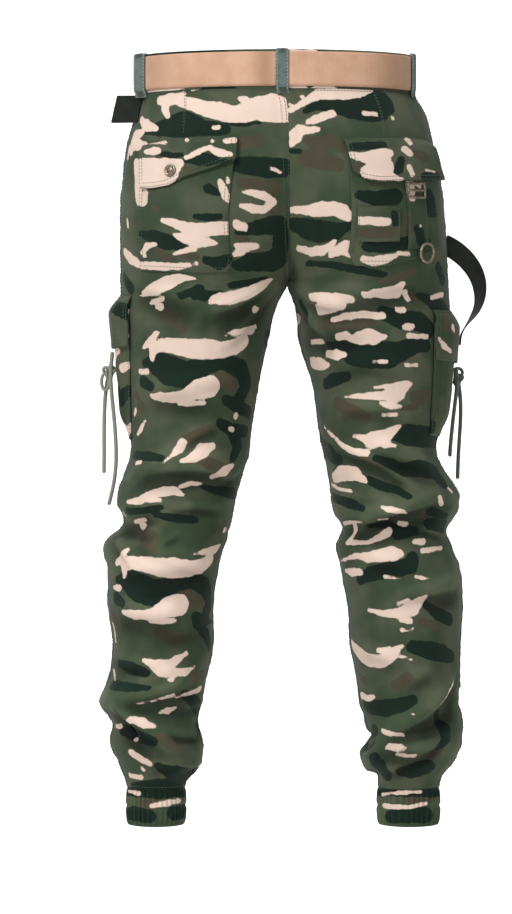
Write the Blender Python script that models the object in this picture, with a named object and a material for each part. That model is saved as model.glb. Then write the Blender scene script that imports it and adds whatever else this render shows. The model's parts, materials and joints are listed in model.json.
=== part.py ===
"""Camouflage cargo trousers with their belt, in the hollow shape that they have when worn.

The tables are in millimetres and degrees. The frame has its origin at the centre of the
waist opening, a little above the middle of the belt, with +Z up, the front of the trousers
towards -Y and the wearer's left towards +X.

A place on the cloth is given by two numbers. Its drop is how far below the origin it lies,
measured down the side seam. Its bearing runs round one half of the garment: 0 at the side
seam, 180 at the centre back seam or, below the crotch, at the inseam, and -180 at the
centre front seam or the inseam.
"""

import math

import bmesh
import bpy
import numpy as np

MM = 0.001
LEFT, RIGHT = 1, -1

CLOTH = 1.5  # wall of a sewn panel
SEAM = 0.3  # between pieces that meet at a seam
REST = 0.6  # between a panel and what is sewn on it, at their points
WAISTBAND_TOP = 24.0  # above the middle of the belt, which follows the waist seam
WAISTBAND_FOOT = 22.0  # below it
WAISTBAND_THICK = 2.5
BELT_WIDTH = 40.0
BELT_THICK = 2.6
CUFF_HEIGHT = 44.0
CUFF_THICK = 2.0
PANEL_COLUMNS = 12  # points from one vertical seam to the next
RING_POINTS = 56  # points round the waist


def table(columns, *rows):
    """Returns one array for each named column."""
    return dict(zip(columns.split(), np.array(rows, float).T))


# Hips, from the foot of the waistband to the crotch. seat and fly are the drops at the
# centre back and centre front. left and right are the side seams' distances from x = 0 and
# middle is the centre seam's x. back and front are the fullest depths. The turns are how
# far a section bends from the side seam to the centre seam: 90 is a quarter of an oval,
# and 180 at the crotch is half of the thigh's own oval.
HIPS = table(
    "drop seat fly left right middle back front seat_turn fly_turn",
    (30, 29, 34, 172, 156, 0, 114, 104, 91, 91),
    (50, 50, 50, 176, 168, -4, 120, 106, 97, 96),
    (85, 85, 85, 185, 178, -6, 127, 107, 105, 103),
    (120, 120, 120, 190, 185, -7, 131, 106, 113, 110),
    (150, 152, 151, 193, 190, -7, 131, 104, 121, 118),
    (180, 186, 184, 194, 193, -7, 128, 102, 131, 129),
    (205, 216, 214, 194, 195, -7, 124, 100, 143, 141),
    (228, 238, 237, 194, 196, -7, 119, 99, 158, 157),
    (248, 250, 250, 194, 197, -6, 114, 98, 171, 171),
    (266, 256, 256, 194, 198, -5, 110, 97, 180, 180),
)

# Legs, from below the crotch to the cuff seam. inseam is the drop at the inseam, and outer
# and inner are the distances of the side seam and the inseam from x = 0.
LEFT_LEG = table(
    "drop inseam outer inner back front",
    (290, 284, 194, 9, 107, 97),
    (330, 326, 190, 19, 103, 96),
    (380, 378, 186, 30, 98, 94),
    (430, 429, 183, 38, 93, 92),
    (460, 460, 182, 42, 90, 91),
    (490, 490, 192, 50, 88, 90),
    (518, 518, 199, 57, 86, 89),
    (545, 545, 190, 64, 80, 88),
    (568, 568, 212, 70, 84, 84),
    (600, 600, 209, 79, 89, 76),
    (640, 640, 209, 84, 92, 68),
    (690, 690, 203, 84, 91, 62),
    (730, 730, 208, 93, 88, 58),
    (757, 757, 219, 97, 90, 60),
    (785, 785, 201, 104, 80, 50),
    (810, 810, 205, 96, 82, 50),
    (832, 832, 195, 99, 72, 42),
    (848, 848, 188, 113, 62, 33),
    (858, 858, 186, 118, 58, 30),
)
RIGHT_LEG = table(
    "drop inseam outer inner back front",
    (290, 284, 199, 15, 107, 97),
    (330, 326, 197, 20, 103, 96),
    (380, 378, 192, 36, 98, 94),
    (430, 429, 187, 43, 93, 92),
    (456, 456, 183, 48, 90, 91),
    (480, 480, 193, 53, 88, 90),
    (505, 505, 210, 57, 88, 89),
    (528, 528, 209, 61, 86, 88),
    (550, 550, 196, 73, 80, 86),
    (568, 568, 200, 65, 84, 82),
    (592, 592, 209, 69, 88, 77),
    (636, 636, 214, 77, 92, 68),
    (690, 690, 211, 81, 91, 62),
    (730, 730, 210, 89, 88, 58),
    (757, 757, 209, 92, 86, 56),
    (785, 785, 215, 102, 84, 54),
    (798, 798, 215, 108, 82, 52),
    (814, 814, 211, 93, 80, 50),
    (832, 832, 202, 97, 72, 42),
    (846, 846, 189, 112, 62, 34),
    (858, 858, 186, 114, 58, 31),
)

# The rows of a panel: bands of equal steps, closer together where the cloth is folded.
ROW_BANDS = table(
    "top foot steps",
    (30, 266, 10),
    (266, 456, 9),
    (456, 600, 11),
    (600, 730, 6),
    (730, 858, 10),
)

# The largest folds. Each is a soft trough that runs through three places on the cloth, its
# start, middle and end. width is from its line to where it fades, depth is how far it goes
# in, and lip is how far the cloth rolls out beside it, above the trough where it is
# positive and below where it is negative.
FOLDS = table(
    "side bearing_1 drop_1 bearing_2 drop_2 bearing_3 drop_3 width depth lip",
    # Back of the left leg.
    (LEFT, 36, 270, 62, 286, 96, 301, 12, 4, 2),
    (LEFT, 104, 311, 124, 303, 152, 291, 12, 4, 2),
    (LEFT, 48, 402, 78, 400, 110, 407, 13, 4, 2),
    (LEFT, 46, 492, 85, 489, 140, 492, 13, 7, 4),
    (LEFT, 20, 552, 44, 547, 64, 534, 11, 6, 4),
    (LEFT, 45, 608, 88, 608, 150, 608, 12, 4, 3),
    (LEFT, 32, 658, 75, 664, 122, 661, 13, 5, 3),
    (LEFT, 46, 762, 88, 757, 150, 744, 12, 6, 4),
    (LEFT, 26, 770, 60, 792, 92, 814, 12, 7, 5),
    # Front of the left leg.
    (LEFT, -150, 300, -110, 312, -70, 330, 14, 4, 3),
    (LEFT, -40, 478, -90, 470, -140, 480, 13, 4, 3),
    (LEFT, -30, 545, -85, 556, -150, 545, 13, 6, 4),
    (LEFT, -30, 640, -90, 650, -150, 640, 13, 5, 3),
    (LEFT, -20, 735, -80, 745, -150, 728, 13, 6, 4),
    (LEFT, -20, 800, -90, 790, -160, 804, 12, 6, 5),
    # Back of the right leg.
    (RIGHT, 150, 310, 96, 288, 44, 262, 13, 4, 2),
    (RIGHT, 168, 334, 130, 330, 90, 326, 13, 4, 2),
    (RIGHT, 104, 466, 72, 476, 40, 495, 12, 5, 3),
    (RIGHT, 150, 554, 96, 547, 44, 530, 13, 7, 5),
    (RIGHT, 64, 640, 46, 634, 20, 628, 11, 4, 3),
    (RIGHT, 30, 756, 66, 778, 128, 808, 12, 7, 5),
    (RIGHT, 128, 818, 96, 820, 62, 815, 10, 6, 4),
    # Front of the right leg.
    (RIGHT, -150, 302, -110, 316, -70, 336, 14, 4, 3),
    (RIGHT, -35, 470, -90, 482, -145, 472, 13, 4, 3),
    (RIGHT, -30, 552, -90, 545, -150, 556, 13, 6, 4),
    (RIGHT, -30, 655, -90, 640, -150, 652, 13, 5, 3),
    (RIGHT, -20, 738, -80, 726, -150, 744, 13, 6, 4),
    (RIGHT, -20, 790, -90, 802, -160, 792, 12, 6, 5),
)


def smooth(x, xs, ys):
    """Reads ys at x on a smooth curve through the rows (xs, ys)."""
    slope = np.gradient(ys, xs)
    i = np.clip(np.searchsorted(xs, x) - 1, 0, len(xs) - 2)
    step = xs[i + 1] - xs[i]
    t = (x - xs[i]) / step
    before = (1 + 2 * t) * (1 - t) ** 2 * ys[i] + t * (1 - t) ** 2 * step * slope[i]
    after = t**2 * (3 - 2 * t) * ys[i + 1] - t**2 * (1 - t) * step * slope[i + 1]
    return before + after


def ease(t):
    """Goes smoothly from 0 to 1 as t does."""
    t = np.clip(t, 0, 1)
    return t * t * (3 - 2 * t)


def sections_of(side):
    """Joins the hips and one leg into one table of sections, with x growing outwards."""
    leg = LEFT_LEG if side == LEFT else RIGHT_LEG
    half_turn = np.full(len(leg["drop"]), 180.0)
    joined = {
        "drop": (HIPS["drop"], leg["drop"]),
        "seat": (HIPS["seat"], leg["inseam"]),
        "fly": (HIPS["fly"], leg["inseam"]),
        "outer": (HIPS["left" if side == LEFT else "right"], leg["outer"]),
        "inner": (side * HIPS["middle"], leg["inner"]),
        "back": (HIPS["back"], leg["back"]),
        "front": (HIPS["front"], leg["front"]),
        "seat_turn": (HIPS["seat_turn"], half_turn),
        "fly_turn": (HIPS["fly_turn"], half_turn),
    }
    return {name: np.concatenate(parts) for name, parts in joined.items()}


SECTIONS = {side: sections_of(side) for side in (LEFT, RIGHT)}


def base(side, bearing, drop):
    """The unfolded outside of the cloth at these places."""
    rows = SECTIONS[side]
    row = {name: smooth(drop, rows["drop"], rows[name]) for name in rows}
    behind = bearing >= 0
    turn = np.radians(np.where(behind, row["seat_turn"], row["fly_turn"]))
    share = np.abs(bearing) / 180
    half_width = (row["outer"] - row["inner"]) / (1 - np.cos(turn))
    half_depth = (row["back"] + row["front"]) / 2
    middle_y = (row["back"] - row["front"]) / 2
    x = row["outer"] - half_width * (1 - np.cos(turn * share))
    y = middle_y + np.where(behind, 1, -1) * half_depth * np.sin(turn * share)
    inner_drop = np.where(behind, row["seat"], row["fly"])
    z = -(drop + (inner_drop - drop) * ease(share))
    return np.stack([side * x, y, z], axis=-1)


def normal_of(surface, side, bearing, drop):
    """The outward normal of a surface, from points a little to each side."""
    degrees, millimetres = 0.5, 1.5
    across = surface(side, bearing + degrees, drop) - surface(side, bearing - degrees, drop)
    down = surface(side, bearing, drop + millimetres) - surface(side, bearing, drop - millimetres)
    normal = side * np.cross(down, across)
    return normal / np.linalg.norm(normal, axis=-1, keepdims=True)


def calm(side, bearing, drop):
    """1 where the cloth folds freely, and near 0 under a pocket and at the centre seams."""
    in_cargo = ease((70 - np.abs(bearing + 26)) / 10) * ease((106 - np.abs(drop - 363)) / 14)
    in_back = ease((66 - np.abs(bearing - 90)) / 10) * ease((104 - np.abs(drop - 168)) / 14)
    at_centre = ease((180 - np.abs(bearing)) / 24)
    hips = ease((300 - drop) / 40)
    ends = ease((drop - 30) / 25) * ease((858 - drop) / 16)
    return (1 - in_cargo) * (1 - in_back) * (1 - hips * (1 - at_centre)) * ends


def fold_height(side, bearing, drop):
    """How far the folds move the cloth out, or in where it is negative."""
    bearing, drop = np.broadcast_arrays(bearing, drop)
    rows = SECTIONS[side]
    widths = (rows["outer"] - rows["inner"] + rows["back"] + rows["front"]) / 4
    per_degree = math.radians(1) * smooth(drop, rows["drop"], widths)
    height = np.zeros(bearing.shape)
    t = np.linspace(0, 1, 13)
    for i in np.flatnonzero(FOLDS["side"] == side):
        fold = {name: FOLDS[name][i] for name in FOLDS}
        lines = [
            (1 - t) ** 2 * fold[f"{name}_1"]
            + 2 * t * (1 - t) * (2 * fold[f"{name}_2"] - (fold[f"{name}_1"] + fold[f"{name}_3"]) / 2)
            + t**2 * fold[f"{name}_3"]
            for name in ("bearing", "drop")
        ]
        around = (bearing[..., None] - lines[0] + 180) % 360 - 180
        around = around * per_degree[..., None]
        below = drop[..., None] - lines[1]
        nearest = np.argmin(around**2 + below**2, axis=-1)[..., None]
        far_around = np.take_along_axis(around, nearest, -1)[..., 0]
        far_below = np.take_along_axis(below, nearest, -1)[..., 0]
        far = np.hypot(far_around, far_below) / fold["width"]
        signed = far * np.where(far_below < 0, 1, -1) * np.sign(fold["lip"])
        strength = np.sin(math.pi * np.clip(t[nearest[..., 0]], 0.08, 0.92)) ** 0.7
        trough = -fold["depth"] * np.exp(-(far**2))
        roll = abs(fold["lip"]) * np.exp(-((signed - 1.7) ** 2))
        height += strength * (trough + roll)
    return height * calm(side, bearing, drop)


def skin(side, bearing, drop):
    """The outside of the cloth at these places, folds and all."""
    flat = base(side, bearing, drop)
    out = normal_of(base, side, bearing, drop)
    return flat + out * fold_height(side, bearing, drop)[..., None]


def colour(hex_code):
    """A linear colour from an sRGB hex code."""
    values = [int(hex_code[i : i + 2], 16) / 255 for i in (0, 2, 4)]
    return [v / 12.92 if v <= 0.04045 else ((v + 0.055) / 1.055) ** 2.4 for v in values] + [1]


# Colour, roughness and metallic value of each material.
FINISHES = {
    "camo_twill": ("4e5946", 0.90, 0.0),
    "belt_webbing": ("c9a086", 0.75, 0.0),
    "loop_twill": ("5f6b62", 0.90, 0.0),
    "dark_webbing": ("20281f", 0.80, 0.0),
    "cord": ("5c6656", 0.85, 0.0),
    "steel": ("9a9a94", 0.35, 1.0),
    "gunmetal": ("5b5750", 0.40, 1.0),
}


def material(name):
    """The named material, made when it is first asked for."""
    found = bpy.data.materials.get(name)
    if found:
        return found
    hex_code, roughness, metallic = FINISHES[name]
    made = bpy.data.materials.new(name)
    made.use_nodes = True
    shader = made.node_tree.nodes["Principled BSDF"]
    shader.inputs["Base Color"].default_value = colour(hex_code)
    shader.inputs["Roughness"].default_value = roughness
    shader.inputs["Metallic"].default_value = metallic
    return made


def add_object(name, mesh, finish):
    """Puts a mesh in the scene as one named, smooth-shaded object."""
    mesh.materials.append(material(finish))
    mesh.shade_smooth()
    mesh.set_sharp_from_angle(angle=math.radians(50))
    made = bpy.data.objects.new(name, mesh)
    bpy.context.scene.collection.objects.link(made)
    return made


def wall(name, outside, inside, finish, ring=False):
    """A closed wall between two grids of points. A ring joins its last column to its first."""
    rows, columns, _ = outside.shape
    points = np.concatenate([outside.reshape(-1, 3), inside.reshape(-1, 3)]) * MM

    def corner(row, column, layer):
        return layer * rows * columns + row * columns + column % columns

    spans = columns if ring else columns - 1
    faces = []
    for layer in (0, 1):
        for r in range(rows - 1):
            for c in range(spans):
                quad = [(r, c), (r, c + 1), (r + 1, c + 1), (r + 1, c)]
                faces.append([corner(*place, layer) for place in quad])
    edges = [((r, c), (r, c + 1)) for r in (0, rows - 1) for c in range(spans)]
    if not ring:
        edges += [((r, c), (r + 1, c)) for c in (0, columns - 1) for r in range(rows - 1)]
    for a, b in edges:
        faces.append([corner(*a, 0), corner(*b, 0), corner(*b, 1), corner(*a, 1)])
    mesh = bpy.data.meshes.new(name)
    mesh.from_pydata(points.tolist(), [], faces)
    outward(mesh)
    return add_object(name, mesh, finish)


def panel_rows():
    """The drops of a panel's rows."""
    rows = [ROW_BANDS["top"][0] + SEAM]
    for top, foot, steps in zip(ROW_BANDS["top"], ROW_BANDS["foot"], ROW_BANDS["steps"]):
        rows += list(np.linspace(top, foot, int(steps) + 1)[1:])
    rows[-1] -= SEAM
    return np.array(rows)


def panel(name, side, face):
    """One of the four panels, from the waistband to the cuff; face is 1 behind, -1 in front."""
    drop = panel_rows()[:, None]
    share = np.linspace(0, 1, PANEL_COLUMNS)[None, :]
    step = base(side, face * 90.5 + 0 * drop, drop) - base(side, face * 89.5 + 0 * drop, drop)
    inset = SEAM / 2 / np.linalg.norm(step, axis=-1)
    bearing = face * (inset + (180 - 2 * inset) * share)
    drop = drop + 0 * share
    outside = skin(side, bearing, drop)
    inside = outside - normal_of(skin, side, bearing, drop) * CLOTH
    return wall(name, outside, inside, "camo_twill")


def layer(name, side, ribs, rows, height, finish, splits=2):
    """A piece that lies on the panels.

    Each rib is a line down it, from one side to the other. height(across, down, drop) is
    the clear height under it, where across and down run from 0 to 1. splits is how many
    columns there are from one rib to the next.
    """
    spots = np.arange(len(ribs["top"]))
    across = np.linspace(0, spots[-1], splits * spots[-1] + 1)
    rib = {key: np.interp(across, spots, ribs[key])[None, :] for key in ribs}
    down = np.array(rows)[:, None]
    bearing = rib["bearing_top"] + (rib["bearing_foot"] - rib["bearing_top"]) * down
    drop = rib["top"] + (rib["foot"] - rib["top"]) * down
    cloth = skin(side, bearing, drop)
    out = normal_of(skin, side, bearing, drop)
    lift = height((across / spots[-1])[None, :], down, drop)[..., None]
    return wall(name, cloth + out * (lift + CLOTH), cloth + out * lift, finish)


# Pieces on the back panels. Each row is a line down the piece.
RIB = "bearing_top bearing_foot top foot"
BACK_POCKET = {
    LEFT: table(RIB, (55, 46, 113, 242), (77, 70, 109, 243), (99, 93, 105, 243), (123, 114, 104, 240), (139, 123, 104, 221)),
    RIGHT: table(RIB, (131, 122, 103, 212), (120, 111, 103, 231), (95, 86, 104, 234), (70, 64, 105, 226), (44, 33, 108, 213)),
}
BACK_FLAP = {
    LEFT: table(RIB, (52, 57, 95, 146), (71, 71, 92, 146), (85, 86, 89, 143), (99, 99, 88, 134), (120, 119, 87, 125), (141, 139, 87, 114)),
    RIGHT: table(RIB, (134, 127, 89, 127), (119, 118, 88, 137), (103, 106, 88, 140), (74, 78, 87, 139), (46, 52, 87, 138), (27, 26, 90, 136)),
}
PEN_SLOT = table(RIB, (121, 117, 166, 201), (103, 100, 166, 203), (86, 83, 167, 204))
BUCKLE_STRAP = table(RIB, (83, 74, 122, 214), (73, 64, 122, 214), (63, 54, 122, 214))
POCKET_SWELL = 2.0  # of a back pocket's middle
SNAP = {"bearing": 88, "drop": 127, "radius": 7.5, "thick": 3.0}
STRAP_RING = {"bearing": 56, "drop": 219, "radius": 11.0, "wire": 1.6}


def edge_share(across, margin):
    """Rises from 0 at either edge to 1 at the margin."""
    return ease(np.minimum(across, 1 - across) / margin)


def pocket_height(across, down, drop):
    """The clear height under a back pocket."""
    return REST + POCKET_SWELL * edge_share(across, 0.3) * edge_share(down, 0.3)


def over_pocket(gap):
    """The clear height of what lies over a back pocket, once it is gap below its own top."""
    full = REST + POCKET_SWELL + CLOTH + REST
    return lambda across, down, drop: REST + (full - REST) * ease(down / gap)


def back_pieces():
    """The two back pockets with their flaps, the pen slot and the buckled strap."""
    for side, word in ((LEFT, "left"), (RIGHT, "right")):
        layer(f"back_pocket_{word}", side, BACK_POCKET[side], np.linspace(0, 1, 8), pocket_height, "camo_twill", splits=3)
    flap_rows = (0, 0.16, 0.45, 0.75, 1)
    layer("back_flap_left", LEFT, BACK_FLAP[LEFT], flap_rows, over_pocket(0.2), "camo_twill")
    above = CLOTH + REST

    def on_pocket(across, down, drop):
        return REST + POCKET_SWELL + CLOTH + REST + 0 * across * down

    def flap_right(across, down, drop):
        return over_pocket(0.2)(across, down, drop) + above * ease(down / 0.6)

    layer("back_flap_right", RIGHT, BACK_FLAP[RIGHT], flap_rows, flap_right, "camo_twill")
    layer("pen_slot_right", RIGHT, PEN_SLOT, (0, 0.5, 1), on_pocket, "camo_twill")
    layer("buckle_strap_right", RIGHT, BUCKLE_STRAP, np.linspace(0, 1, 5), on_pocket, "loop_twill")


def on_cloth(side, bearing, drop, out):
    """Points that stand out from the cloth, and the normals there."""
    bearing, drop, out = np.broadcast_arrays(*(np.array(v, float) for v in (bearing, drop, out)))
    normal = normal_of(skin, side, bearing, drop)
    return skin(side, bearing, drop) + normal * out[..., None], normal


def snap():
    """The snap's round cap on the left back flap."""
    height = REST + POCKET_SWELL + CLOTH + REST + CLOTH + SEAM
    centre, normal = on_cloth(LEFT, SNAP["bearing"], SNAP["drop"], height)
    across = np.cross(normal, (0, 0, 1))
    across /= np.linalg.norm(across)
    up = np.cross(across, normal)
    turn = np.linspace(0, 2 * math.pi, 17)[:-1]
    round_way = np.cos(turn)[:, None] * across + np.sin(turn)[:, None] * up
    levels = ((0, 1), (0.55, 1), (1, 0.7))
    rings = [
        centre + normal * SNAP["thick"] * share + round_way * SNAP["radius"] * reach
        for share, reach in levels
    ]
    return solid_of_rings("snap_left", np.array(rings), "gunmetal")


def solid_of_rings(name, rings, finish, closed=False):
    """A solid through rings of points, with an end on its first and last unless it is closed."""
    count, sides, _ = rings.shape
    faces = []
    for r in range(count if closed else count - 1):
        for c in range(sides):
            near, far = r * sides, (r + 1) % count * sides
            faces.append([near + c, near + (c + 1) % sides, far + (c + 1) % sides, far + c])
    if not closed:
        faces += [list(range(sides)), [(count - 1) * sides + c for c in range(sides)]]
    mesh = bpy.data.meshes.new(name)
    mesh.from_pydata((rings.reshape(-1, 3) * MM).tolist(), [], faces)
    outward(mesh)
    return add_object(name, mesh, finish)


def outward(mesh):
    """Turns a closed mesh's faces outwards."""
    shape = bmesh.new()
    shape.from_mesh(mesh)
    bmesh.ops.recalc_face_normals(shape, faces=shape.faces)
    shape.to_mesh(mesh)
    shape.free()


def tube(name, path, radius, sides, finish, closed=False):
    """A round bar along a path."""
    ahead = np.roll(path, -1, 0) - np.roll(path, 1, 0)
    if not closed:
        ahead[0], ahead[-1] = path[1] - path[0], path[-1] - path[-2]
    ahead /= np.linalg.norm(ahead, axis=1, keepdims=True)
    first = np.cross(ahead, (0.31, 0.95, 0.05))
    first /= np.linalg.norm(first, axis=1, keepdims=True)
    second = np.cross(ahead, first)
    turn = np.linspace(0, 2 * math.pi, sides + 1)[:-1, None]
    rings = path[:, None] + radius * (np.cos(turn) * first[:, None] + np.sin(turn) * second[:, None])
    return solid_of_rings(name, rings, finish, closed)


def strip(name, middle, across, width, thick, finish):
    """A flat strip along a path, where across points along its width."""
    ahead = np.gradient(middle, axis=0)
    across = across / np.linalg.norm(across, axis=-1, keepdims=True)
    face = np.cross(ahead, across)
    face /= np.linalg.norm(face, axis=-1, keepdims=True)
    spread = np.array([-1, 0, 1])[None, :, None] * across[:, None] * width / 2
    return wall(
        name,
        middle[:, None] + spread + face[:, None] * thick / 2,
        middle[:, None] + spread - face[:, None] * thick / 2,
        finish,
    )


def strap_ring():
    """The round wire ring at the foot of the buckled strap."""
    height = REST + POCKET_SWELL + CLOTH + REST + CLOTH + STRAP_RING["wire"]
    centre, normal = on_cloth(RIGHT, STRAP_RING["bearing"], STRAP_RING["drop"], height)
    across = np.cross(normal, (0, 0, 1))
    across /= np.linalg.norm(across)
    up = np.cross(across, normal)
    turn = np.linspace(0, 2 * math.pi, 17)[:-1, None]
    path = centre + STRAP_RING["radius"] * (np.cos(turn) * across + np.sin(turn) * up)
    return tube("strap_ring_right", path, STRAP_RING["wire"], 5, "gunmetal", closed=True)


# Cargo pockets, centred a little in front of the side seams.
CARGO = {
    LEFT: {"ribs": table(RIB, (30, 14, 288, 442), (8, -8, 288, 444), (-27, -40, 288, 445), (-62, -74, 288, 444), (-84, -94, 288, 442)), "depth": 10.0},
    RIGHT: {"ribs": table(RIB, (39, 36, 304, 437), (17, 14, 304, 439), (-18, -20, 304, 440), (-53, -54, 304, 439), (-74, -76, 304, 437)), "depth": 8.0},
}
CARGO_FLAP = {
    LEFT: table(RIB, (32, 29, 272, 331), (8, 5, 272, 333), (-27, -30, 272, 334), (-62, -65, 272, 333), (-87, -89, 272, 331)),
    RIGHT: table(RIB, (41, 39, 289, 348), (17, 15, 289, 350), (-18, -19, 289, 351), (-53, -54, 289, 350), (-77, -79, 289, 348)),
}
CARGO_REST = 1.0  # under the edges of a cargo pocket, where the thigh is rounder
POUCH_ROWS = (0, 0.07, 0.16, 0.4, 0.62, 0.8, 0.92, 1)
FLAP_ROWS = (0, 0.14, 0.3, 0.62, 1)


def cargo_pieces():
    """A cargo pocket and its flap on each thigh."""
    for side, word in ((LEFT, "left"), (RIGHT, "right")):
        depth = CARGO[side]["depth"]

        def pouch(across, down, drop, depth=depth):
            return CARGO_REST + depth * edge_share(across, 0.16) * ease((down + 0.06) / 0.2) * ease((1 - down) / 0.24)

        def flap(across, down, drop, depth=depth):
            over = CARGO_REST + (CLOTH + REST) * ease(down / 0.16)
            return over + depth * edge_share(across + 0 * down, 0.16) * ease(down / 0.34)

        layer(f"cargo_pocket_{word}", side, CARGO[side]["ribs"], POUCH_ROWS, pouch, "camo_twill", splits=3)
        layer(f"cargo_flap_{word}", side, CARGO_FLAP[side], FLAP_ROWS, flap, "camo_twill", splits=3)


def round_waist(turn, height, out):
    """Points round the waist, level with its seam.

    The turn runs from 0 at the centre back past the left side. The height is above the
    middle of the waistband, and follows the seam's own rise and fall.
    """
    turn, height, out = np.broadcast_arrays(*(np.array(v, float) for v in (turn, height, out)))
    turn = turn % 360
    points = np.zeros(turn.shape + (3,))
    for side in (LEFT, RIGHT):
        mine = turn <= 180 if side == LEFT else turn > 180
        bearing = 180 - 2 * turn[mine] if side == LEFT else 2 * turn[mine] - 540
        below_seam = np.maximum(0, -WAISTBAND_FOOT - height[mine])
        drop = ROW_BANDS["top"][0] + SEAM + below_seam
        place = base(side, bearing, drop)
        place[:, 2] += SEAM + WAISTBAND_FOOT + height[mine] + below_seam
        points[mine] = place + normal_of(base, side, bearing, drop) * out[mine][:, None]
    return points


# The profile of a belt loop: its height, and how far its middle stands out from the cloth.
LOOP = table(
    "height out",
    (23.6, 1.5),
    (22.4, 3.4),
    (20.9, 5.0),
    (15, 5.4),
    (-15, 5.4),
    (-20.9, 5.0),
    (-23.5, 3.3),
    (-26.2, 1.7),
    (-28.6, 1.5),
)
LOOP_TURNS = {"belt_loop_back": 0.6, "belt_loop_left": 72, "belt_loop_right": 284}
LOOP_WIDTH = 15.0
LOOP_SWING = math.radians(36)  # of the left loop, whose front edge stands away


def swung(middle, across):
    """Turns a strip about its rear edge, so that its front edge stands away from the belt."""
    across = across / np.linalg.norm(across, axis=-1, keepdims=True)
    out = np.cross((0, 0, 1), across)
    out *= np.sign((out * middle).sum(axis=-1, keepdims=True))
    turned = math.cos(LOOP_SWING) * across + math.sin(LOOP_SWING) * out
    return middle + (turned - across) * LOOP_WIDTH / 2, turned


def waist_pieces():
    """The waistband, its loops, the belt and its buckle."""
    band_turn = np.linspace(180.05, 539.95, RING_POINTS + 1)
    heights = np.array([[WAISTBAND_TOP], [-WAISTBAND_FOOT]])
    outside = round_waist(band_turn[None, :], heights, 0.4)
    inside = round_waist(band_turn[None, :], heights, 0.4 - WAISTBAND_THICK)
    wall("waistband", outside, inside, "camo_twill")

    start, finish, lap = 168, 562, 528
    belt_turn = np.linspace(start, finish, 66)
    clear = 1.3 + (BELT_THICK + REST) * ease((belt_turn - (lap - 12)) / 12)
    heights = np.array([[BELT_WIDTH / 2], [-BELT_WIDTH / 2]])
    outside = round_waist(belt_turn[None, :], heights, (clear + BELT_THICK)[None, :])
    inside = round_waist(belt_turn[None, :], heights, clear[None, :])
    wall("belt", outside, inside, "belt_webbing")

    plate_turn = np.linspace(171, 189, 7)
    over_belt = 1.3 + 2 * (BELT_THICK + REST)
    heights = np.array([[24.0], [21.0], [-21.0], [-24.0]])
    edge = np.array([[-1.2], [0], [0], [-1.2]])
    outside = round_waist(plate_turn[None, :], heights, over_belt + 2.4 + edge)
    inside = round_waist(plate_turn[None, :], heights, over_belt)
    wall("belt_buckle", outside, inside, "steel")

    for name, turn in LOOP_TURNS.items():
        middle = round_waist(turn, LOOP["height"], LOOP["out"])
        across = round_waist(turn + 1, LOOP["height"], LOOP["out"]) - middle
        if name == "belt_loop_left":
            middle, across = swung(middle, across)
        strip(name, middle, across, LOOP_WIDTH, CLOTH, "loop_twill")


def cuffs():
    """The elastic cuff at each ankle."""
    for side, word in ((LEFT, "left"), (RIGHT, "right")):
        seam = ROW_BANDS["foot"][-1]
        bearing = np.linspace(-180, 180, 33)[None, :-1]
        places = base(side, bearing, seam - 0.5)
        normal = normal_of(base, side, bearing, seam - 2)
        normal[..., 2] = 0
        normal /= np.linalg.norm(normal, axis=-1, keepdims=True)
        levels = np.linspace(0, 1, 4)[:, None]
        bulge = 1.5 * np.sin(math.pi * levels)[..., None]
        outside = places + normal * bulge
        outside[..., 2] = -(seam + SEAM + CUFF_HEIGHT * levels)
        inside = outside - normal * CUFF_THICK
        wall(f"cuff_{word}", outside, inside, "camo_twill", ring=True)


# The webbing that stands away from the right hip. x is how far out it is, and twist turns
# its width from facing backwards to lying along the thigh.
WEBBING = table(
    "x y z twist",
    (-194, -34, -208, 10),
    (-200, -28, -211, 12),
    (-209, -20, -217, 16),
    (-220, -13, -227, 22),
    (-230, -9, -241, 32),
    (-235.5, -7, -256, 42),
    (-236.5, -6, -272, 54),
    (-233, -5, -286, 66),
    (-226, -5, -298, 78),
    (-219, -5, -308, 87),
    (-214, -6, -318, 90),
    (-212.5, -6, -330, 90),
)
WEBBING_WIDTH = 25.0
WEBBING_THICK = 1.8

# The folded tab at the left hip, from where it is sewn on, out to its fold and back.
TAB = table(
    "bearing out",
    (31, 1.0),
    (27.5, 3.6),
    (24.5, 10),
    (21.5, 18.5),
    (19.3, 25.5),
    (18.0, 28),
    (16.7, 25.5),
    (18.2, 17.5),
    (20.5, 9.5),
    (22.8, 4.2),
    (24.2, 2.2),
)
TAB_TOP, TAB_FOOT = 32.0, 66.0


def webbing():
    """The webbing loop at the right hip and the folded tab at the left one."""
    middle = np.stack([WEBBING["x"], WEBBING["y"], WEBBING["z"]], axis=-1)
    ahead = np.gradient(middle, axis=0)
    in_plane = np.cross(ahead, (0, 1, 0))
    in_plane /= np.linalg.norm(in_plane, axis=-1, keepdims=True)
    twist = np.radians(WEBBING["twist"])[:, None]
    across = np.cos(twist) * in_plane + np.sin(twist) * np.array((0, 1, 0))
    strip("webbing_loop_right", middle, across, WEBBING_WIDTH, WEBBING_THICK, "dark_webbing")

    ends = []
    for drop in (TAB_TOP, TAB_FOOT):
        cloth, out = on_cloth(LEFT, TAB["bearing"], drop, 0)
        out[:, 2] = 0
        out /= np.linalg.norm(out, axis=-1, keepdims=True)
        ends.append(cloth + out * TAB["out"][:, None])
    top, foot = ends
    strip("hip_tab_left", (top + foot) / 2, foot - top, TAB_FOOT - TAB_TOP, WEBBING_THICK, "dark_webbing")


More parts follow.
